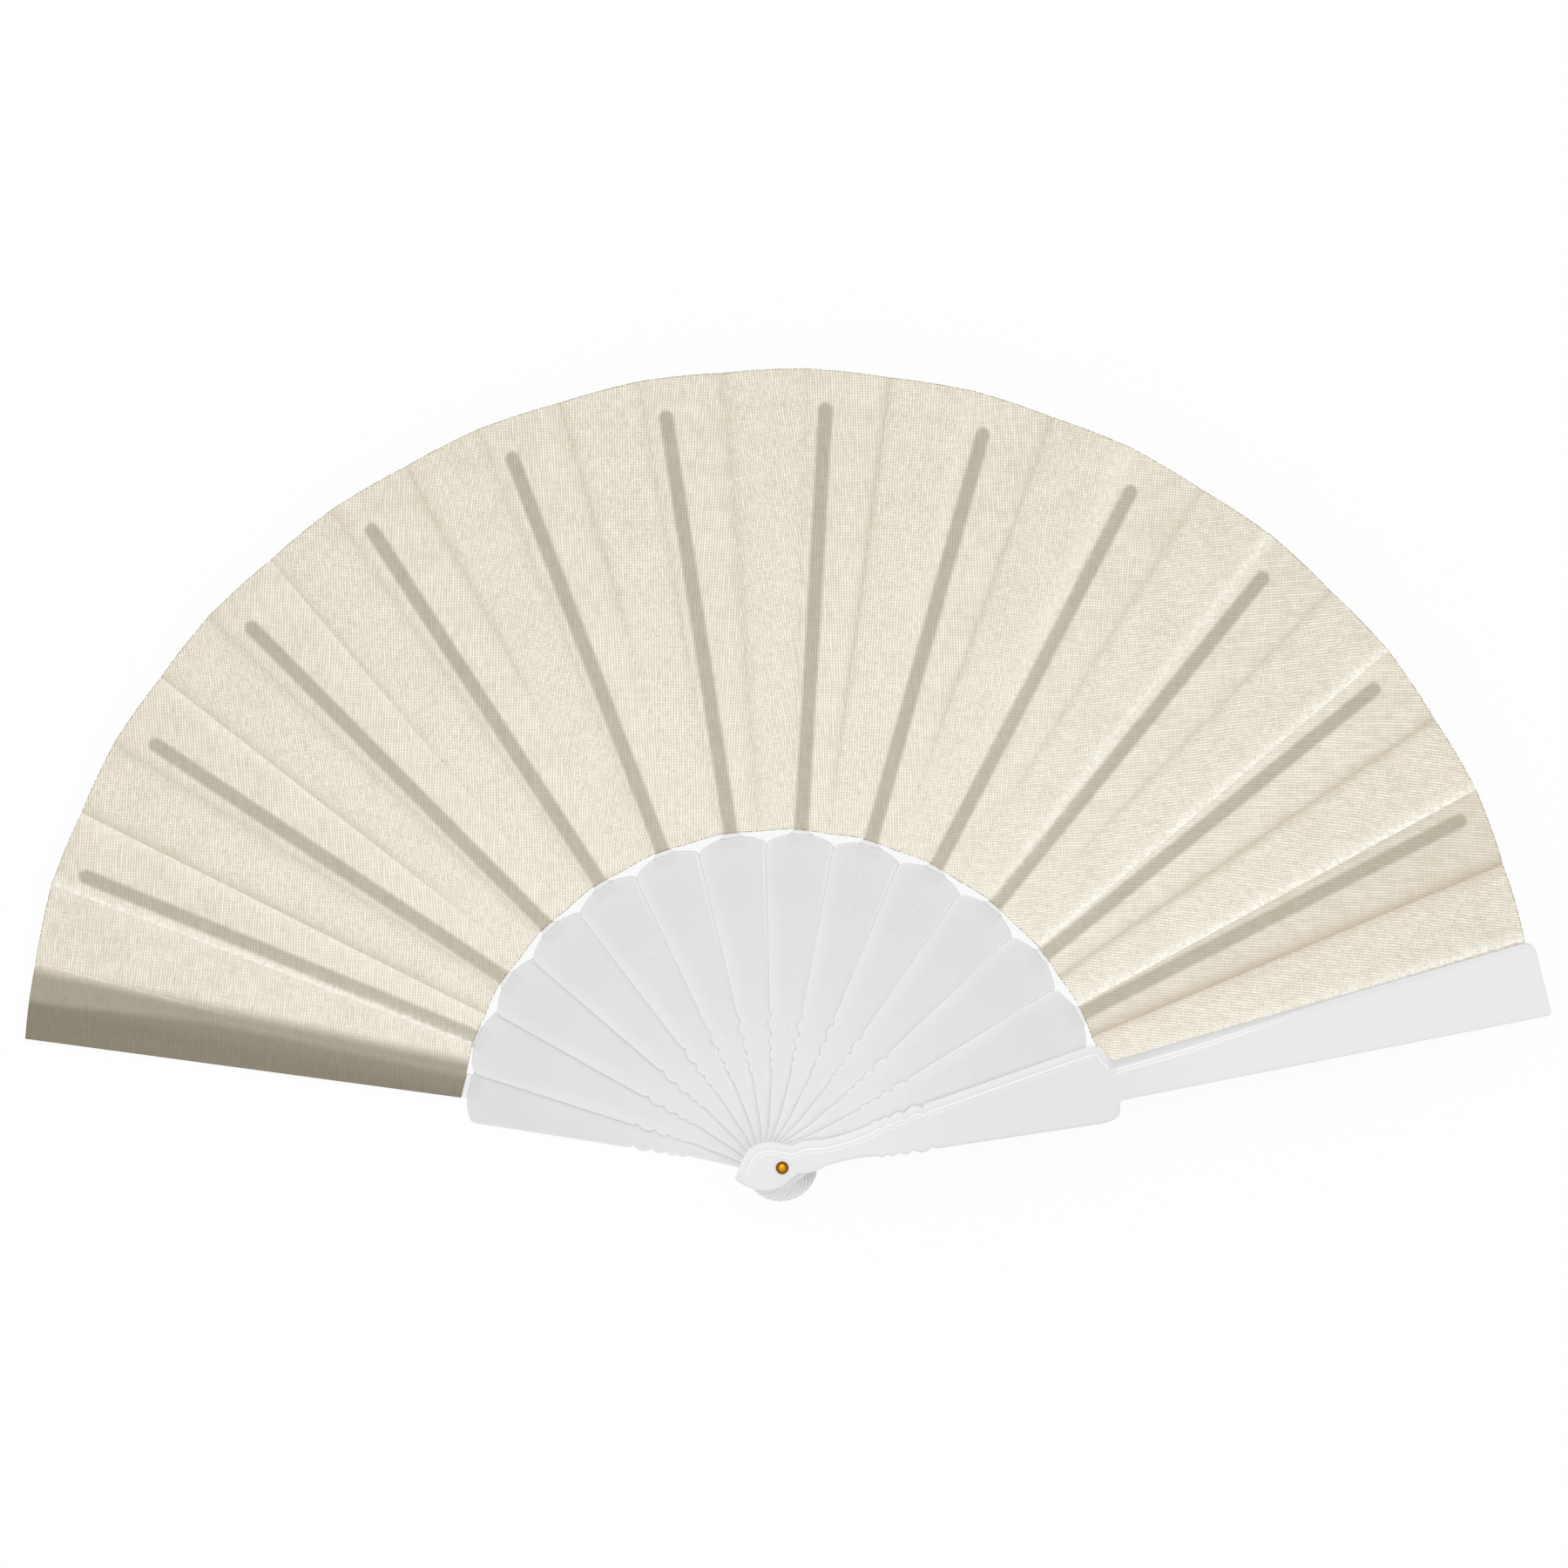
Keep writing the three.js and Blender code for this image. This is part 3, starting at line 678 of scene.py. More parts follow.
line_width, shading_power = 0.45, 1.6
lines = [
    product_of(near(distance, line_width), given[side + "Line"], kept(side))
    for side, distance in crease_distances]
painted_shadings = [
    product_of(near(distance, given[side + "Spread"], shading_power), given[side + "Tone"], kept(side))
    for side, distance in crease_distances]
cut_distance = maths(pleat, "MINIMUM", end_cut, maths(pleat, "MINIMUM", *side_cuts))
recorded = {
    "leaf_place": (*at_angle(from_rib), cut_distance),
    "weave_place": (turned_at["X"], turned_at["Y"], given["Warp Share"]),
    "crease_place": (sum_of(*lines), sum_of(*painted_shadings, given["Painted Shade"]), along),
}
# The places are stored on the flat grid, before it is moved to its own place in the fan.
geometry = grid.outputs["Mesh"]
for title, parts in recorded.items():
    field = vector_of(pleat, *parts)
    geometry = wired(
        pleat, "GeometryNodeStoreNamedAttribute",
        {"Geometry": geometry, "Name": title, "Value": field}, data_type="FLOAT_VECTOR").outputs[0]
cloth = wired(pleat, "GeometryNodeSetPosition", {"Geometry": geometry, "Position": in_metres})
realized = wired(pleat, "GeometryNodeRealizeInstances", {0: cloth.outputs[0]})
coloured = wired(
    pleat, "GeometryNodeSetMaterial", {"Geometry": realized.outputs[0], "Material": given["Cloth"]})
wired(pleat, "NodeGroupOutput", {0: coloured.outputs[0]})

# Plain weave: threads both ways, each of them slubby, so that some stand out for a centimetre.
# Warp Share says which of the two sets shows more.
thread_wander = 0.8
least_lit, slub_contrast = 0.4, 1.2
weave, given, result = new_group(
    "Plain weave", ["Vector", "Warp Share", "Thread Pitch", "Slub Length", "Grain"], ["Shade", "Height"])
thread = maths(weave, "DIVIDE", 1.0, given["Thread Pitch"])
slub = maths(weave, "DIVIDE", 1.0, given["Slub Length"])
at = parts_of(weave, given["Vector"])
level_place = vector_of(weave, at["X"], at["Y"])
wander = noise_at(weave, level_place, 0.16, 1.0)
threads = []
for across, down, offset in (("X", "Y", 0.0), ("Y", "X", 37.0)):
    count = maths(weave, "MULTIPLY_ADD", at[across], thread, product(weave, wander, thread_wander))
    wave = maths(weave, "COSINE", product(weave, count, 2 * pi))
    profile = maths(weave, "MULTIPLY_ADD", wave, 0.5, 0.5)
    run = maths(weave, "MULTIPLY_ADD", at[down], slub, offset)
    thread_place = vector_of(weave, count, run, offset)
    uneven = scaled(weave, noise_at(weave, thread_place, 0.9, 2.0, 0.6), 0.3, 0.7)
    light = maths(weave, "MULTIPLY_ADD", uneven, slub_contrast, least_lit)
    threads.append((profile, product(weave, profile, light)))
(warp, warp_lit), (weft, weft_lit) = threads
weft_share = minus(weave, 1.0, given["Warp Share"])
lines = maths(
    weave, "ADD", product(weave, warp_lit, given["Warp Share"]), product(weave, weft_lit, weft_share))
speckle = noise_at(weave, level_place, product(weave, thread, 1.2), 1.0)
grain = product(weave, minus(weave, speckle, 0.5), given["Grain"])
feed(weave, result, {
    "Shade": maths(weave, "ADD", lines, grain), "Height": maths(weave, "ADD", warp, weft)})

cloth_dark = linear(204, 193, 172)
cloth_light = linear(255, 251, 238)
rib_shadow_dark = linear(171, 163, 145)
rib_shadow_light = linear(203, 196, 179)
band_shade_dark = linear(134, 125, 108)
band_shade_warm = linear(150, 141, 124)
band_shade_middle = linear(166, 157, 140)
glue_stain = linear(120, 111, 95)
painted_crease_light = linear(255, 253, 243)
painted_crease_shade = linear(188, 175, 152)
crease_line_shade = linear(172, 158, 136)
singed_brown = linear(120, 102, 70)
thread_pitch = 0.74
# Distances from the blade's middle line towards the leaf
glue_edge = 4.9
glue_edge_at_rim = 0.4
glue_edge_turns, glue_edge_ends = 165.0, 212.0
blade_shade_from = 7.1
blade_shade_to = 11.9


def cloth_material(name, grain, slub_length, over_guard=False):
    material, tree, shader = new_material(name)
    threads_place, threads_at = attribute_at(tree, "weave_place")
    inputs = {"Vector": threads_place, "Warp Share": threads_at["Z"], "Thread Pitch": thread_pitch,
              "Slub Length": slub_length, "Grain": grain}
    woven = wired(tree, "ShaderNodeGroup", inputs, node_tree=weave)
    _, at = attribute_at(tree, "leaf_place")
    _, crease_at = attribute_at(tree, "crease_place")
    clouds = noise_at(tree, threads_place, 0.09, 3.0)
    # The cloth is a little greyer towards the rim.
    rim_darkening = maths(tree, "MULTIPLY_ADD", crease_at["Z"], -0.22, 0.15)
    uneven = maths(tree, "MULTIPLY_ADD", clouds, 0.3, rim_darkening)
    shade = scaled(tree, maths(tree, "ADD", uneven, woven.outputs["Shade"]), 0.0, 1.3)
    colour = mixed(tree, shade, cloth_dark, cloth_light)
    if over_guard:
        # The blade shows through its whole width as painted shade, darkest where the cloth is
        # glued down, and its painted shadow reaches a little past it.
        across = product(tree, at["Y"], -1.0)
        blotches = minus(tree, noise_at(tree, threads_place, 0.3, 4.0, 0.6), 0.5)
        glue_line = scaled(
            tree, at["X"], glue_edge_turns, glue_edge_ends, (glue_edge, glue_edge_at_rim))
        past_glue = minus(tree, maths(tree, "MULTIPLY_ADD", blotches, 1.6, across), glue_line)
        blade_shade_tint = mixed(tree, scaled(tree, across, -1.0, 6.0), band_shade_dark, band_shade_warm)
        blade_band_shade = mixed(tree, stepped(tree, past_glue, -1.2, 1.2), blade_shade_tint, band_shade_middle)
        patchy = product(tree, stepped(tree, blotches, 0.0, 0.25), 0.2)
        blade_band_shade = mixed(tree, patchy, blade_band_shade, glue_stain)
        blade_band_shade = mixed(tree, product(tree, woven.outputs["Shade"], 0.07), blade_band_shade, cloth_light)
        blade_shadow_share = minus(tree, 1.0, stepped(tree, across, blade_shade_from, blade_shade_to))
        colour = mixed(tree, blade_shadow_share, colour, blade_band_shade)
    else:
        # The rib's shadow shows through as a painted dark stripe with a round end.
        past_end = maths(tree, "MAXIMUM", minus(tree, at["X"], rib_end - rib_half), 0.0)
        away = length_of(tree, vector_of(tree, past_end, at["Y"]))
        rib_shadow = minus(tree, 1.0, stepped(tree, away, rib_half - 0.9, rib_half + 0.5))
        rib_shadow_colour = mixed(tree, shade, rib_shadow_dark, rib_shadow_light)
        colour = mixed(tree, product(tree, rib_shadow, 0.96), colour, rib_shadow_colour)
    # Each crease has painted light on one side, in flecks, and painted shade on the other.
    flecks = stepped(tree, noise_at(tree, threads_place, 0.9, 1.0), 0.38, 0.62)
    flecked = maths(tree, "MULTIPLY_ADD", flecks, 0.7, 0.35)
    crease_light_share = product(tree, maths(tree, "MAXIMUM", crease_at["Y"], 0.0), flecked)
    crease_shade_share = maths(tree, "MAXIMUM", product(tree, crease_at["Y"], -1.0), 0.0)
    colour = mixed(tree, crease_light_share, colour, painted_crease_light)
    colour = mixed(tree, product(tree, crease_shade_share, 0.5), colour, painted_crease_shade)
    # A painted shade line darkens some creases along their length.
    colour = mixed(tree, product(tree, crease_at["X"], 0.45), colour, crease_line_shade)
    # The cut edge is singed, in dots where it meets the threads.
    singed = stepped(tree, at["Z"], 0.35, 0.05)
    dots = stepped(tree, noise_at(tree, threads_place, 1.6, 0.0), 0.35, 0.6)
    burnt = product(tree, singed, dots, 0.8)
    colour = mixed(tree, burnt, colour, singed_brown)
    feed(tree, shader, {
        "Base Color": colour, "Roughness": 0.9, "Sheen Weight": 0.05, "Specular IOR Level": 0.2,
        "Normal": bumped(tree, woven.outputs["Height"], 0.3, 0.05 * MM)})
    return material


panel_cloth = cloth_material("Ecru cloth on the ribs", 0.5, 4.5)
fold_cloth = cloth_material("Ecru cloth of the free folds", 0.9, 2.5)
guard_cloth = cloth_material("Ecru cloth over the rear guard", 0.7, 4.0, over_guard=True)


def cloth_top(i):
    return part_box(f"leaf_panel_{i:02d}")[1].z / MM


def leaf_piece(kind, i, body, material, edges, marks, own_settings):
    """One panel or fold of the leaf, between its two creases, as a sheet on its own body."""
    name, node = f"leaf_cloth_{kind}_{i:02d}", f"leaf_{kind}_{i:02d}"
    start, end = edges
    settings = {
        "From Angle": radians(start), "From Inner Angle": radians(start),
        "To Angle": radians(end), "Rib Angle": radians(stick_angle(i) if i else guard_axis),
        "Level": cloth_top(i), "Warp Share": warp_share(start), **marks_between(*marks),
        **own_settings,
    }
    host = placed(name + "_source", bpy.data.meshes.new(name + "_source"))
    pleated = host.modifiers.new("Pleat", "NODES")
    pleated.node_group = pleat
    for title, value in settings.items():
        pleated[pleat_socket[title]] = float(value)
    pleated[pleat_socket["Cloth"]] = material
    solid = host.modifiers.new("Thickness", "SOLIDIFY")
    solid.thickness = cloth_thickness * MM
    solid.offset = -1.0
    shown = host.evaluated_get(bpy.context.evaluated_depsgraph_get())
    mesh = bpy.data.meshes.new_from_object(shown)
    mesh.name = name
    bpy.data.objects.remove(host)
    made = smooth_object(name, mesh, 50)
    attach(made, body)
    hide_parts(node)
    return made


def body_of_carrier(i):
    return {0: "rear_guard", stick_count + 1: "front_guard"}.get(i, f"stick_{i:02d}")


# How each crease is painted: the shading on its left and on its right, painted light above 0 and
# shade below it, how far that spreads, how dark its painted shade line is, and the share of its length it
# lost.
valley_marks = [
    (0.4, 0, 0.5, 0, 0.6), (0.45, -0.85, 2, 0, -0.2), (0.45, -0.7, 1.7, 0, 0.2),
    (0.3, -0.55, 1.7, 0, 0.45), (-0.35, -0.6, 1.6, 0, 0.44), (-0.3, -0.6, 1.6, 0, 0.44),
    (-0.35, -0.45, 2, 0, 0), (-0.3, -0.3, 1.3, 0.5, 0.1), (-0.25, -0.35, 1.5, 0.4, 0.2),
    (-0.2, -0.4, 1.3, 0.2, 0.2), (-0.45, -0.3, 1.3, 0.2, 0.2), (-0.6, -0.7, 1.7, 0.5, -0.2),
    (-1, -0.4, 2.4, 0.6, -0.2),
]
ridge_marks = [
    (0, 0, 1, 0, 0), (0.35, 0.8, 1.5, 0, -0.1), (-0.5, -0.45, 1.8, 0, -0.1),
    (-0.5, -0.35, 1.8, 0, -0.1), (-0.35, -0.35, 1.6, 0, 0), (-0.3, -0.25, 1.6, 0, 0),
    (-0.35, -0.1, 1.6, 0, 0), (-0.1, -0.1, 1.6, 0, 0), (0.3, 0.3, 1.6, 0, 0.3),
    (0.4, 0.5, 2.6, 0, 0.3), (0.8, 0.7, 1.6, 0, 0), (1.1, 0.2, 2, 0, -0.2), (1.1, -0.1, 2.3, 0, -0.2),
    (1.1, 0, 2, 0, -0.2),
]
# Panels from this one to the last stick have painted shade all over.
first_shaded_panel, panel_shade_tone = 12, -0.3


def marks_between(from_marks, to_marks):
    """The settings of a piece that lies right of one crease and left of the next."""
    settings = {}
    for side, marks, shading in (("From", from_marks, from_marks[1]), ("To", to_marks, to_marks[0])):
        _, _, spread, line_depth, lost = marks
        settings |= {
            f"{side} Tone": shading, f"{side} Spread": spread,
            f"{side} Line": line_depth, f"{side} Fade": lost}
    return settings


def valley_angle(i):
    return (ridge_angle(i) + ridge_angle(i + 1)) / 2


def warp_share(angle):
    """The upright threads show more on the leaf's left and the level ones on its right, as painted light.
    """
    return 0.5 + 0.2 * tanh((angle - 62.0) / 14.0)


guard_axis = leaf_start_angle - blade_half_angle
free_edge_foot = guard_axis + degrees((free_edge_margin - outer_root[1]) / rear_tab_end)
hidden_edge_angle = 0.2
front_outer_angle = leaf_start_angle - open_angle - 2 * blade_half_angle
for i in range(stick_count + 2):
    first, last = i == 0, i == stick_count + 1
    on_stick = not (first or last)
    carrier = body_of_carrier(i)
    end_angle = front_outer_angle + hidden_edge_angle if last else valley_angle(i)
    own_settings = {
        "Seed": i, "Ripple": on_stick * ripple * 0.5,
        "From Crease": on_stick * ridge_rise, "To Crease": on_stick * -valley_drop,
        "Painted Shade": panel_shade_tone * (first_shaded_panel <= i <= stick_count),
        "From Rim": 1.0, "To Rim": -1.0, "From Cut": first, "To Cut": last,
        "Weave Turn": radians(4.0 * sin(2.3 * i)),
    }
    if first:
        own_settings["From Inner Angle"] = radians(free_edge_foot)
    piece = leaf_piece(
        "panel", i, carrier, guard_cloth if first else panel_cloth,
        (ridge_angle(i), end_angle), (ridge_marks[i], ridge_marks[0] if last else valley_marks[i]),
        own_settings)
    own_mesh(piece)

for i in range(stick_count + 1):
    start, end_angle = valley_angle(i), ridge_angle(i + 1)
    climb = cloth_top(i + 1) - cloth_top(i)
    own_settings = {
        "Climb": climb, "Seed": 20 + i, "Ripple": ripple, "From Crease": -valley_drop if i else 0.0,
        "To Crease": 0.0 if i == stick_count else ridge_rise, "From Rim": -1.0, "To Rim": 1.0,
        "Weave Turn": radians(9.0 * sin(1.7 * i + 1.0)),
    }
    piece = leaf_piece(
        "fold", i, f"leaf_fold_{i:02d}", fold_cloth if i else guard_cloth,
        (start, end_angle), (valley_marks[i], ridge_marks[i + 1]),
        own_settings)
    # Shut, the fold lies flat on its panel: it is pressed to the plane that turns level there.
    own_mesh(piece)

# Front guard
# The top stick, a thick moulding with an eye-shaped tail round the rivet. A wide bevel, a crest
# and a fine groove follow its leaf side, and its body stands above its blade.

blade_thickness = 1.6
blade_root_extra = 1.8
blade_tip_extra = 0.5
blade_end = 216.8
bevel_width = 2.4
bevel_fade = 168.0
shoulder_end = 96.2
shoulder_half = 9.5
guard_foot_half = 5.4
guard_waist_half = 2.2
guard_bead_halves = (3.3, 4.4)
eye_half = 5.5
front_tail = 13.6
ramp_length = 5.0
ramp_foot = 1.96

# From the foot of the edge to the top face: how far in, and how high.
leaf_side_section = [
    (0.0, 0.0), (0.0, 0.7), (0.05, 0.86), (0.17, 0.97), (0.34, 1.07), (1.2, 1.64), (2.06, 2.22),
    (2.25, 2.32), (2.43, 2.37), (2.6, 2.36), (2.78, 2.28), (2.95, 2.27), (3.12, 2.36),
    (3.3, 2.5), (3.46, 2.58), (3.62, 2.6), (3.75, 2.6),
]
outer_side_section = [
    (0.0, 0.0), (0.0, 1.7), (0.01, 1.85), (0.05, 2.02), (0.1, 2.15), (0.18, 2.27), (0.28, 2.38),
    (0.38, 2.45), (0.48, 2.5), (0.6, 2.545), (0.72, 2.57), (0.84, 2.585), (0.95, 2.595),
    (1.05, 2.6), (1.15, 2.6), (1.25, 2.6), (1.35, 2.6),
]


def smooth(x, low, high):
    t = np.clip((x - low) / (high - low), 0, 1)
    return t * t * (3 - 2 * t)


def two_sided(outline, leafness, reach, foot, rise, endness=0.0):
    """Rings with the leaf side's section where leafness is 1, and the outer side's where it is 0.

    Where endness is 1 they slope gently up from the blade instead.
    """
    direction = inward(outline, reach)
    rings = []
    sections = zip(leaf_side_section, outer_side_section)
    for step, ((leaf_in, leaf_z), (outer_in, outer_z)) in enumerate(sections):
        share = max(0, step - 1) / (len(leaf_side_section) - 2)
        end_in = ramp_length * share
        end_z = 0.0 if step == 0 else ramp_foot + (guard_thickness - ramp_foot) * smooth(share, 0, 1)
        inset = outer_in + (leaf_in - outer_in) * leafness
        inset = inset + (end_in - inset) * endness
        height = outer_z + (leaf_z - outer_z) * leafness
        height = foot + (height + (end_z - height) * endness) * rise
        rings.append(np.column_stack([outline + direction * inset[:, None], height]))
    return rings


points = [(-front_tail, 0.0)]
bend(points, (-front_tail * 0.84, eye_half * 0.45), (-front_tail * 0.6, eye_half),
     (-front_tail * 0.3, eye_half))
bend(points, (0, eye_half), (2.2, 3.4), (4.1, 2.8))
bend(points, (7.5, 3.9), (11.7, guard_waist_half + 0.3))
bend(points, (15, guard_waist_half), (21, guard_waist_half), (bead_row_foot, guard_bead_halves[0]))
add_beads(points, *guard_bead_halves)
bend(points, (bead_row_top + 0.5, guard_foot_half), (body_foot, guard_foot_half))
points.append((shoulder_end - 7.8, shoulder_half))
bend(points, (shoulder_end - 4.8, shoulder_half + 0.2), (shoulder_end - 2.2, shoulder_half - 0.3),
     (shoulder_end - 1.8, shoulder_half - 2.2))
bend(points, (shoulder_end - 1.5, 5.0), (shoulder_end, 4.2))
edge = np.array(points)
leaf_edge = edge.copy()
leaf_edge[:, 1] += bevel_width * smooth(edge[:, 0], -front_tail, 6 - front_tail)
body_outline = resampled(both_edges(edge, leaf_edge))
leafness = smooth(body_outline[:, 1], -3.0, 3.0)
alongside = (body_outline[:, 0] > 0) & (body_outline[:, 0] < 90)
leafness[alongside] = body_outline[alongside, 1] > 0
at_end = body_outline[:, 0] > shoulder_end - 3
endness = np.where(at_end, 1 - smooth(np.abs(body_outline[:, 1]), 4.2, 7.0), 0.0)
guard_body = plate(two_sided(body_outline, leafness, 8, 0.0, 1.0, endness), rivet_hole)
body_leaf_share = leafness * (1 - endness)
waist_share = 1 - 0.8 * smooth(body_outline[:, 0], 44, 52)

blade_start = shoulder_end - 6


def blade_leaf_edge(u):
    share = (u - shoulder_end) / (blade_end - shoulder_end)
    return u * blade_slope + blade_root_extra + (blade_tip_extra - blade_root_extra) * share


points = [(blade_start, -blade_start * blade_slope), (blade_end - 1, -(blade_end - 1) * blade_slope)]
bend(points, (blade_end, -blade_end * blade_slope), (blade_end, -blade_end * blade_slope + 1))
points.append((blade_end, blade_leaf_edge(blade_end) - blade_tip_corner))
corner_foot = blade_end - blade_tip_corner
bend(points, (blade_end, blade_leaf_edge(blade_end)), (corner_foot, blade_leaf_edge(corner_foot)))
points.append((blade_start, blade_leaf_edge(blade_start)))
blade_outline = resampled(points)
leafness = smooth(blade_outline[:, 1], -0.1, 0.1) * (1 - smooth(blade_outline[:, 0], 110, bevel_fade))
guard_blade = plate(
    two_sided(blade_outline, leafness, 5, blade_recess, blade_thickness / guard_thickness))

# Painted light lies on the body's lower bevel and sides, and painted highlights on the crests
# beside the groove make them bright lines. The blade has painted shade by the leaf.
crest_steps = {7: 0.6, 8: 1.0, 9: 0.6}
outer_crest_steps = (13, 14)
outer_crest = 0.6
guard_white, guard_cloud, guard_unbacked_shade, guard_leaf_shade = grey(232), grey(234), grey(228), grey(206)


def crest_marks(shell, leaf_share, outer_share):
    """1 on the rings that are crests, on the leaf side, where highlight lines are painted."""
    marks = np.zeros(len(shell[0]))
    count = len(leaf_share)
    for step, mark in crest_steps.items():
        marks[step * count:(step + 1) * count] = mark * leaf_share
    for step in outer_crest_steps:
        marks[step * count:(step + 1) * count] = outer_crest * leaf_share * outer_share
    return marks


guard_plastic, tree, shader = new_material("White guard plastic")
cloud = skin_on(tree, shader, 40.0, 0.22, 0.28)
_, at = attribute_at(tree, "moulding_place")
low = stepped(tree, at["Z"], 2.35, 1.5)
over_leaf = stepped(tree, at["X"], shoulder_end - 3, shoulder_end)
from_edge = minus(tree, maths(tree, "MULTIPLY_ADD", at["X"], blade_slope, 0.6), at["Y"])
painted_shade_by_leaf = product(tree, stepped(tree, from_edge, 2.2, -1.6), over_leaf, 0.8)
bevel_painted_light = product(tree, low, minus(tree, 1.0, over_leaf), 0.4)
painted_crest_highlight = wired(tree, "ShaderNodeAttribute", attribute_name="crest").outputs["Fac"]
lit = maths(tree, "MAXIMUM", bevel_painted_light, product(tree, painted_crest_highlight, 0.8))
# It has painted light where the pile of sticks or the cloth backs it, and painted shade between.
unbacked_shade = product(tree, stepped(tree, at["X"], 20.0, 60.0), stepped(tree, at["X"], 125.0, 88.0))
clouded = mixed(tree, cloud, guard_white, guard_cloud)
clouded = mixed(tree, unbacked_shade, clouded, guard_unbacked_shade)
clouded = mixed(tree, painted_shade_by_leaf, clouded, guard_leaf_shade)
feed(tree, shader, {"Base Color": mixed(tree, lit, clouded, painted_light_plastic)})

front_guard_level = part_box("front_guard")[0].z / MM
front_guard = moulding(
    "front_guard_moulding", [guard_body, guard_blade],
    leaf_start_angle - open_angle - blade_half_angle, front_guard_level)
crests = [
    crest_marks(guard_body, body_leaf_share, waist_share), crest_marks(guard_blade, leafness, 1.0)]
crest = front_guard.data.attributes.new("crest", "FLOAT", "POINT")
crest.data.foreach_set("value", np.concatenate(crests).astype(np.float32))
front_guard.data.materials.append(guard_plastic)
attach(front_guard, "front_guard")
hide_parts("front_guard")

# Rivet and washer
# A brass tubular rivet through all the sticks, with a small domed head in front, and its tail
# turned over on a thin washer in the rear guard's counterbore.

head_radius = 1.75
head_height = 1.0
head_rim = 0.12
shank_radius = 1.25
tail_head_radius = 2.1
tail_head_height = 0.45
washer_radius = 2.9
washer_hole = 1.35
washer_foot = 0.5
washer_thickness = 0.4


def turned_piece(name, profile, points=72):
    """A closed profile of radius and height, turned round the rivet's axis."""
    vertices = []
    faces = []
    for k in range(points):
        t = 2 * pi * k / points
        vertices += [(r * cos(t) * MM, r * sin(t) * MM, z * MM) for r, z in profile]
    count = len(profile)
    for k in range(points):
        for j in range(count):
            a, b = k * count + j, k * count + (j + 1) % count
            c, d = (a + count) % len(vertices), (b + count) % len(vertices)
            faces.append((a, c, d, b))
    return solid_object(name, vertices, faces, 40)


brass, tree, shader = new_material("Rivet brass")
place = wired(tree, "ShaderNodeTexCoord").outputs["Object"]
rubbed = noise_at(tree, place, 1400.0, 3.0)
at = parts_of(tree, place)
radius = length_of(tree, vector_of(tree, at["X"], at["Y"]))
# Painted shade darkens the brass away from the axis: the dome's rim and the washer.
rim_shade = product(tree, stepped(tree, radius, 0.5 * MM, 1.5 * MM), 0.85)
bright = mixed(tree, rubbed, linear(190, 124, 14), linear(226, 164, 40))
feed(tree, shader, {
    "Base Color": mixed(tree, rim_shade, bright, linear(92, 54, 8)), "Metallic": 1.0,
    "Roughness": scaled(tree, rubbed, 0.0, 1.0, (0.2, 0.4))})

head_level = front_guard_level + guard_thickness + 0.05
rivet_profile = [
    (0.02, 0.0), (tail_head_radius - 0.1, 0.0), (tail_head_radius, 0.1),
    (tail_head_radius, tail_head_height), (shank_radius, tail_head_height),
    (shank_radius, head_level), (head_radius, head_level)]
for t in np.linspace(0, pi / 2, 12)[:-1]:
    dome = head_rim + (head_height - head_rim) * sin(t)
    rivet_profile.append((head_radius * cos(t), head_level + dome))
rivet_profile.append((0.02, head_level + head_height))
rivet = turned_piece("rivet_turned", rivet_profile)
rivet.data.materials.append(brass)
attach(rivet, "rear_guard")
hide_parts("rivet")

washer_top = washer_foot + washer_thickness
washer = turned_piece("rivet_washer_turned", [
    (washer_hole, washer_foot), (washer_radius - 0.08, washer_foot), (washer_radius, washer_foot + 0.08),
    (washer_radius, washer_top - 0.08), (washer_radius - 0.08, washer_top), (washer_hole, washer_top),
])
washer.data.materials.append(brass)
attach(washer, "rear_guard")
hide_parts("rivet_washer")

# Stage
# A white table in a light tent that is brightest overhead, with one soft lamp above the leaf.

photo_side = 1800
rivet_pixel = (897.9, 1339.0)
mm_per_pixel = 0.2416
eye_distance = 1300.0
focus_level = 15.0
sensor = 36.0
aim_x = (photo_side / 2 - rivet_pixel[0]) * mm_per_pixel
aim_y = (rivet_pixel[1] - photo_side / 2) * mm_per_pixel
camera_data = bpy.data.cameras.new("camera")
camera_data.sensor_width = sensor
camera_data.lens = sensor * eye_distance / (photo_side * mm_per_pixel)
camera_data.clip_start = 0.01
camera_data.clip_end = 10.0
camera = placed("camera", camera_data)
camera.location = (aim_x * MM, aim_y * MM, (focus_level + eye_distance) * MM)
bpy.context.scene.camera = camera

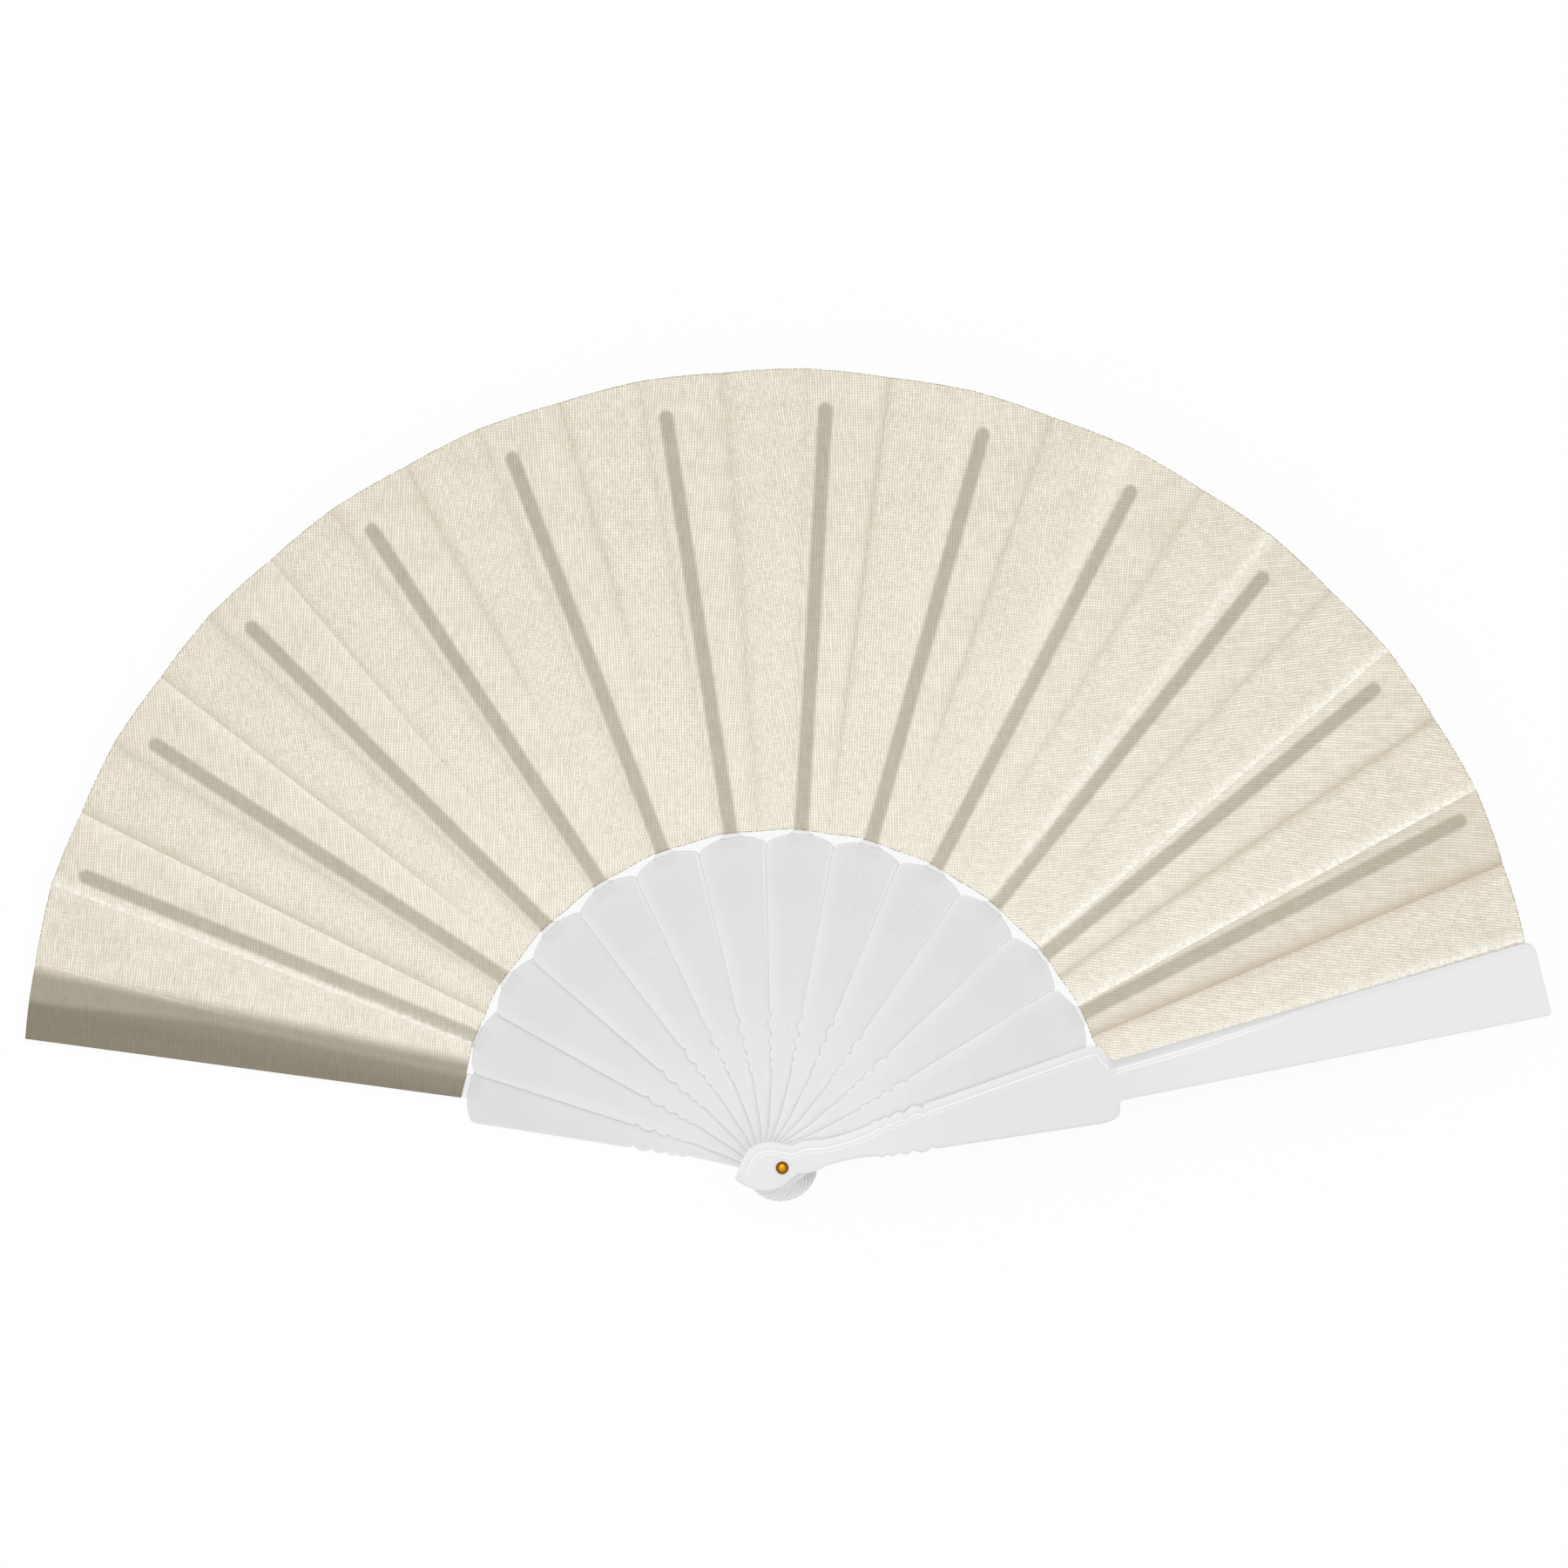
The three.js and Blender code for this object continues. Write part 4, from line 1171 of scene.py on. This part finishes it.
key_data = bpy.data.lights.new("key", "SUN")
key_share = 0.15
key_azimuth, key_tilt = radians(100), radians(20)
key_data.energy = key_share * pi / cos(key_tilt)
key_data.angle = radians(30)
key = placed("key", key_data)
key.rotation_euler = (key_tilt, 0.0, key_azimuth + pi / 2)


def seen_directly(tree):
    """1 for what the camera sees directly, by reflection or through glass, and 0 for the light."""
    path = wired(tree, "ShaderNodeLightPath").outputs
    direct = maths(tree, "MAXIMUM", path["Is Camera Ray"], path["Is Glossy Ray"])
    return maths(tree, "MAXIMUM", direct, path["Is Transmission Ray"])


world = bpy.data.worlds.new("light tent")
bpy.context.scene.world = world
world.use_nodes = True
tree = world.node_tree
tree.nodes.clear()
up = parts_of(tree, wired(tree, "ShaderNodeTexCoord").outputs["Generated"])["Z"]
wall_light = 0.5
roof_light = (1 - key_share - wall_light) * 1.5
strength = maths(tree, "MULTIPLY_ADD", maths(tree, "MAXIMUM", up, 0.0), roof_light, wall_light)
lit, white = [
    wired(tree, "ShaderNodeBackground", {"Color": grey(255), "Strength": light}).outputs[0]
    for light in (strength, 1.0)]
both = wired(tree, "ShaderNodeMixShader", {0: seen_directly(tree), 1: lit, 2: white})
wired(tree, "ShaderNodeOutputWorld", {0: both.outputs[0]})

table_half = 3.0
table_mesh = bpy.data.meshes.new("table")
corners = [(-1, -1), (1, -1), (1, 1), (-1, 1)]
table_mesh.from_pydata(
    [(x * table_half, y * table_half, 0) for x, y in corners], [], [(0, 1, 2, 3)])
table = placed("table", table_mesh)
table_white, tree, shader = new_material("Table white")
feed(tree, shader, {"Base Color": grey(250), "Roughness": 0.9, "Specular IOR Level": 0.0})
glow = wired(tree, "ShaderNodeEmission", {"Color": grey(255), "Strength": 1.0})
glow_share = product(tree, seen_directly(tree), 0.93)
paled = wired(tree, "ShaderNodeMixShader", {0: glow_share, 1: shader.outputs[0], 2: glow.outputs[0]})
feed(tree, tree.nodes["Material Output"], {"Surface": paled.outputs[0]})
table.data.materials.append(table_white)

bpy.context.scene.view_settings.view_transform = "Standard"
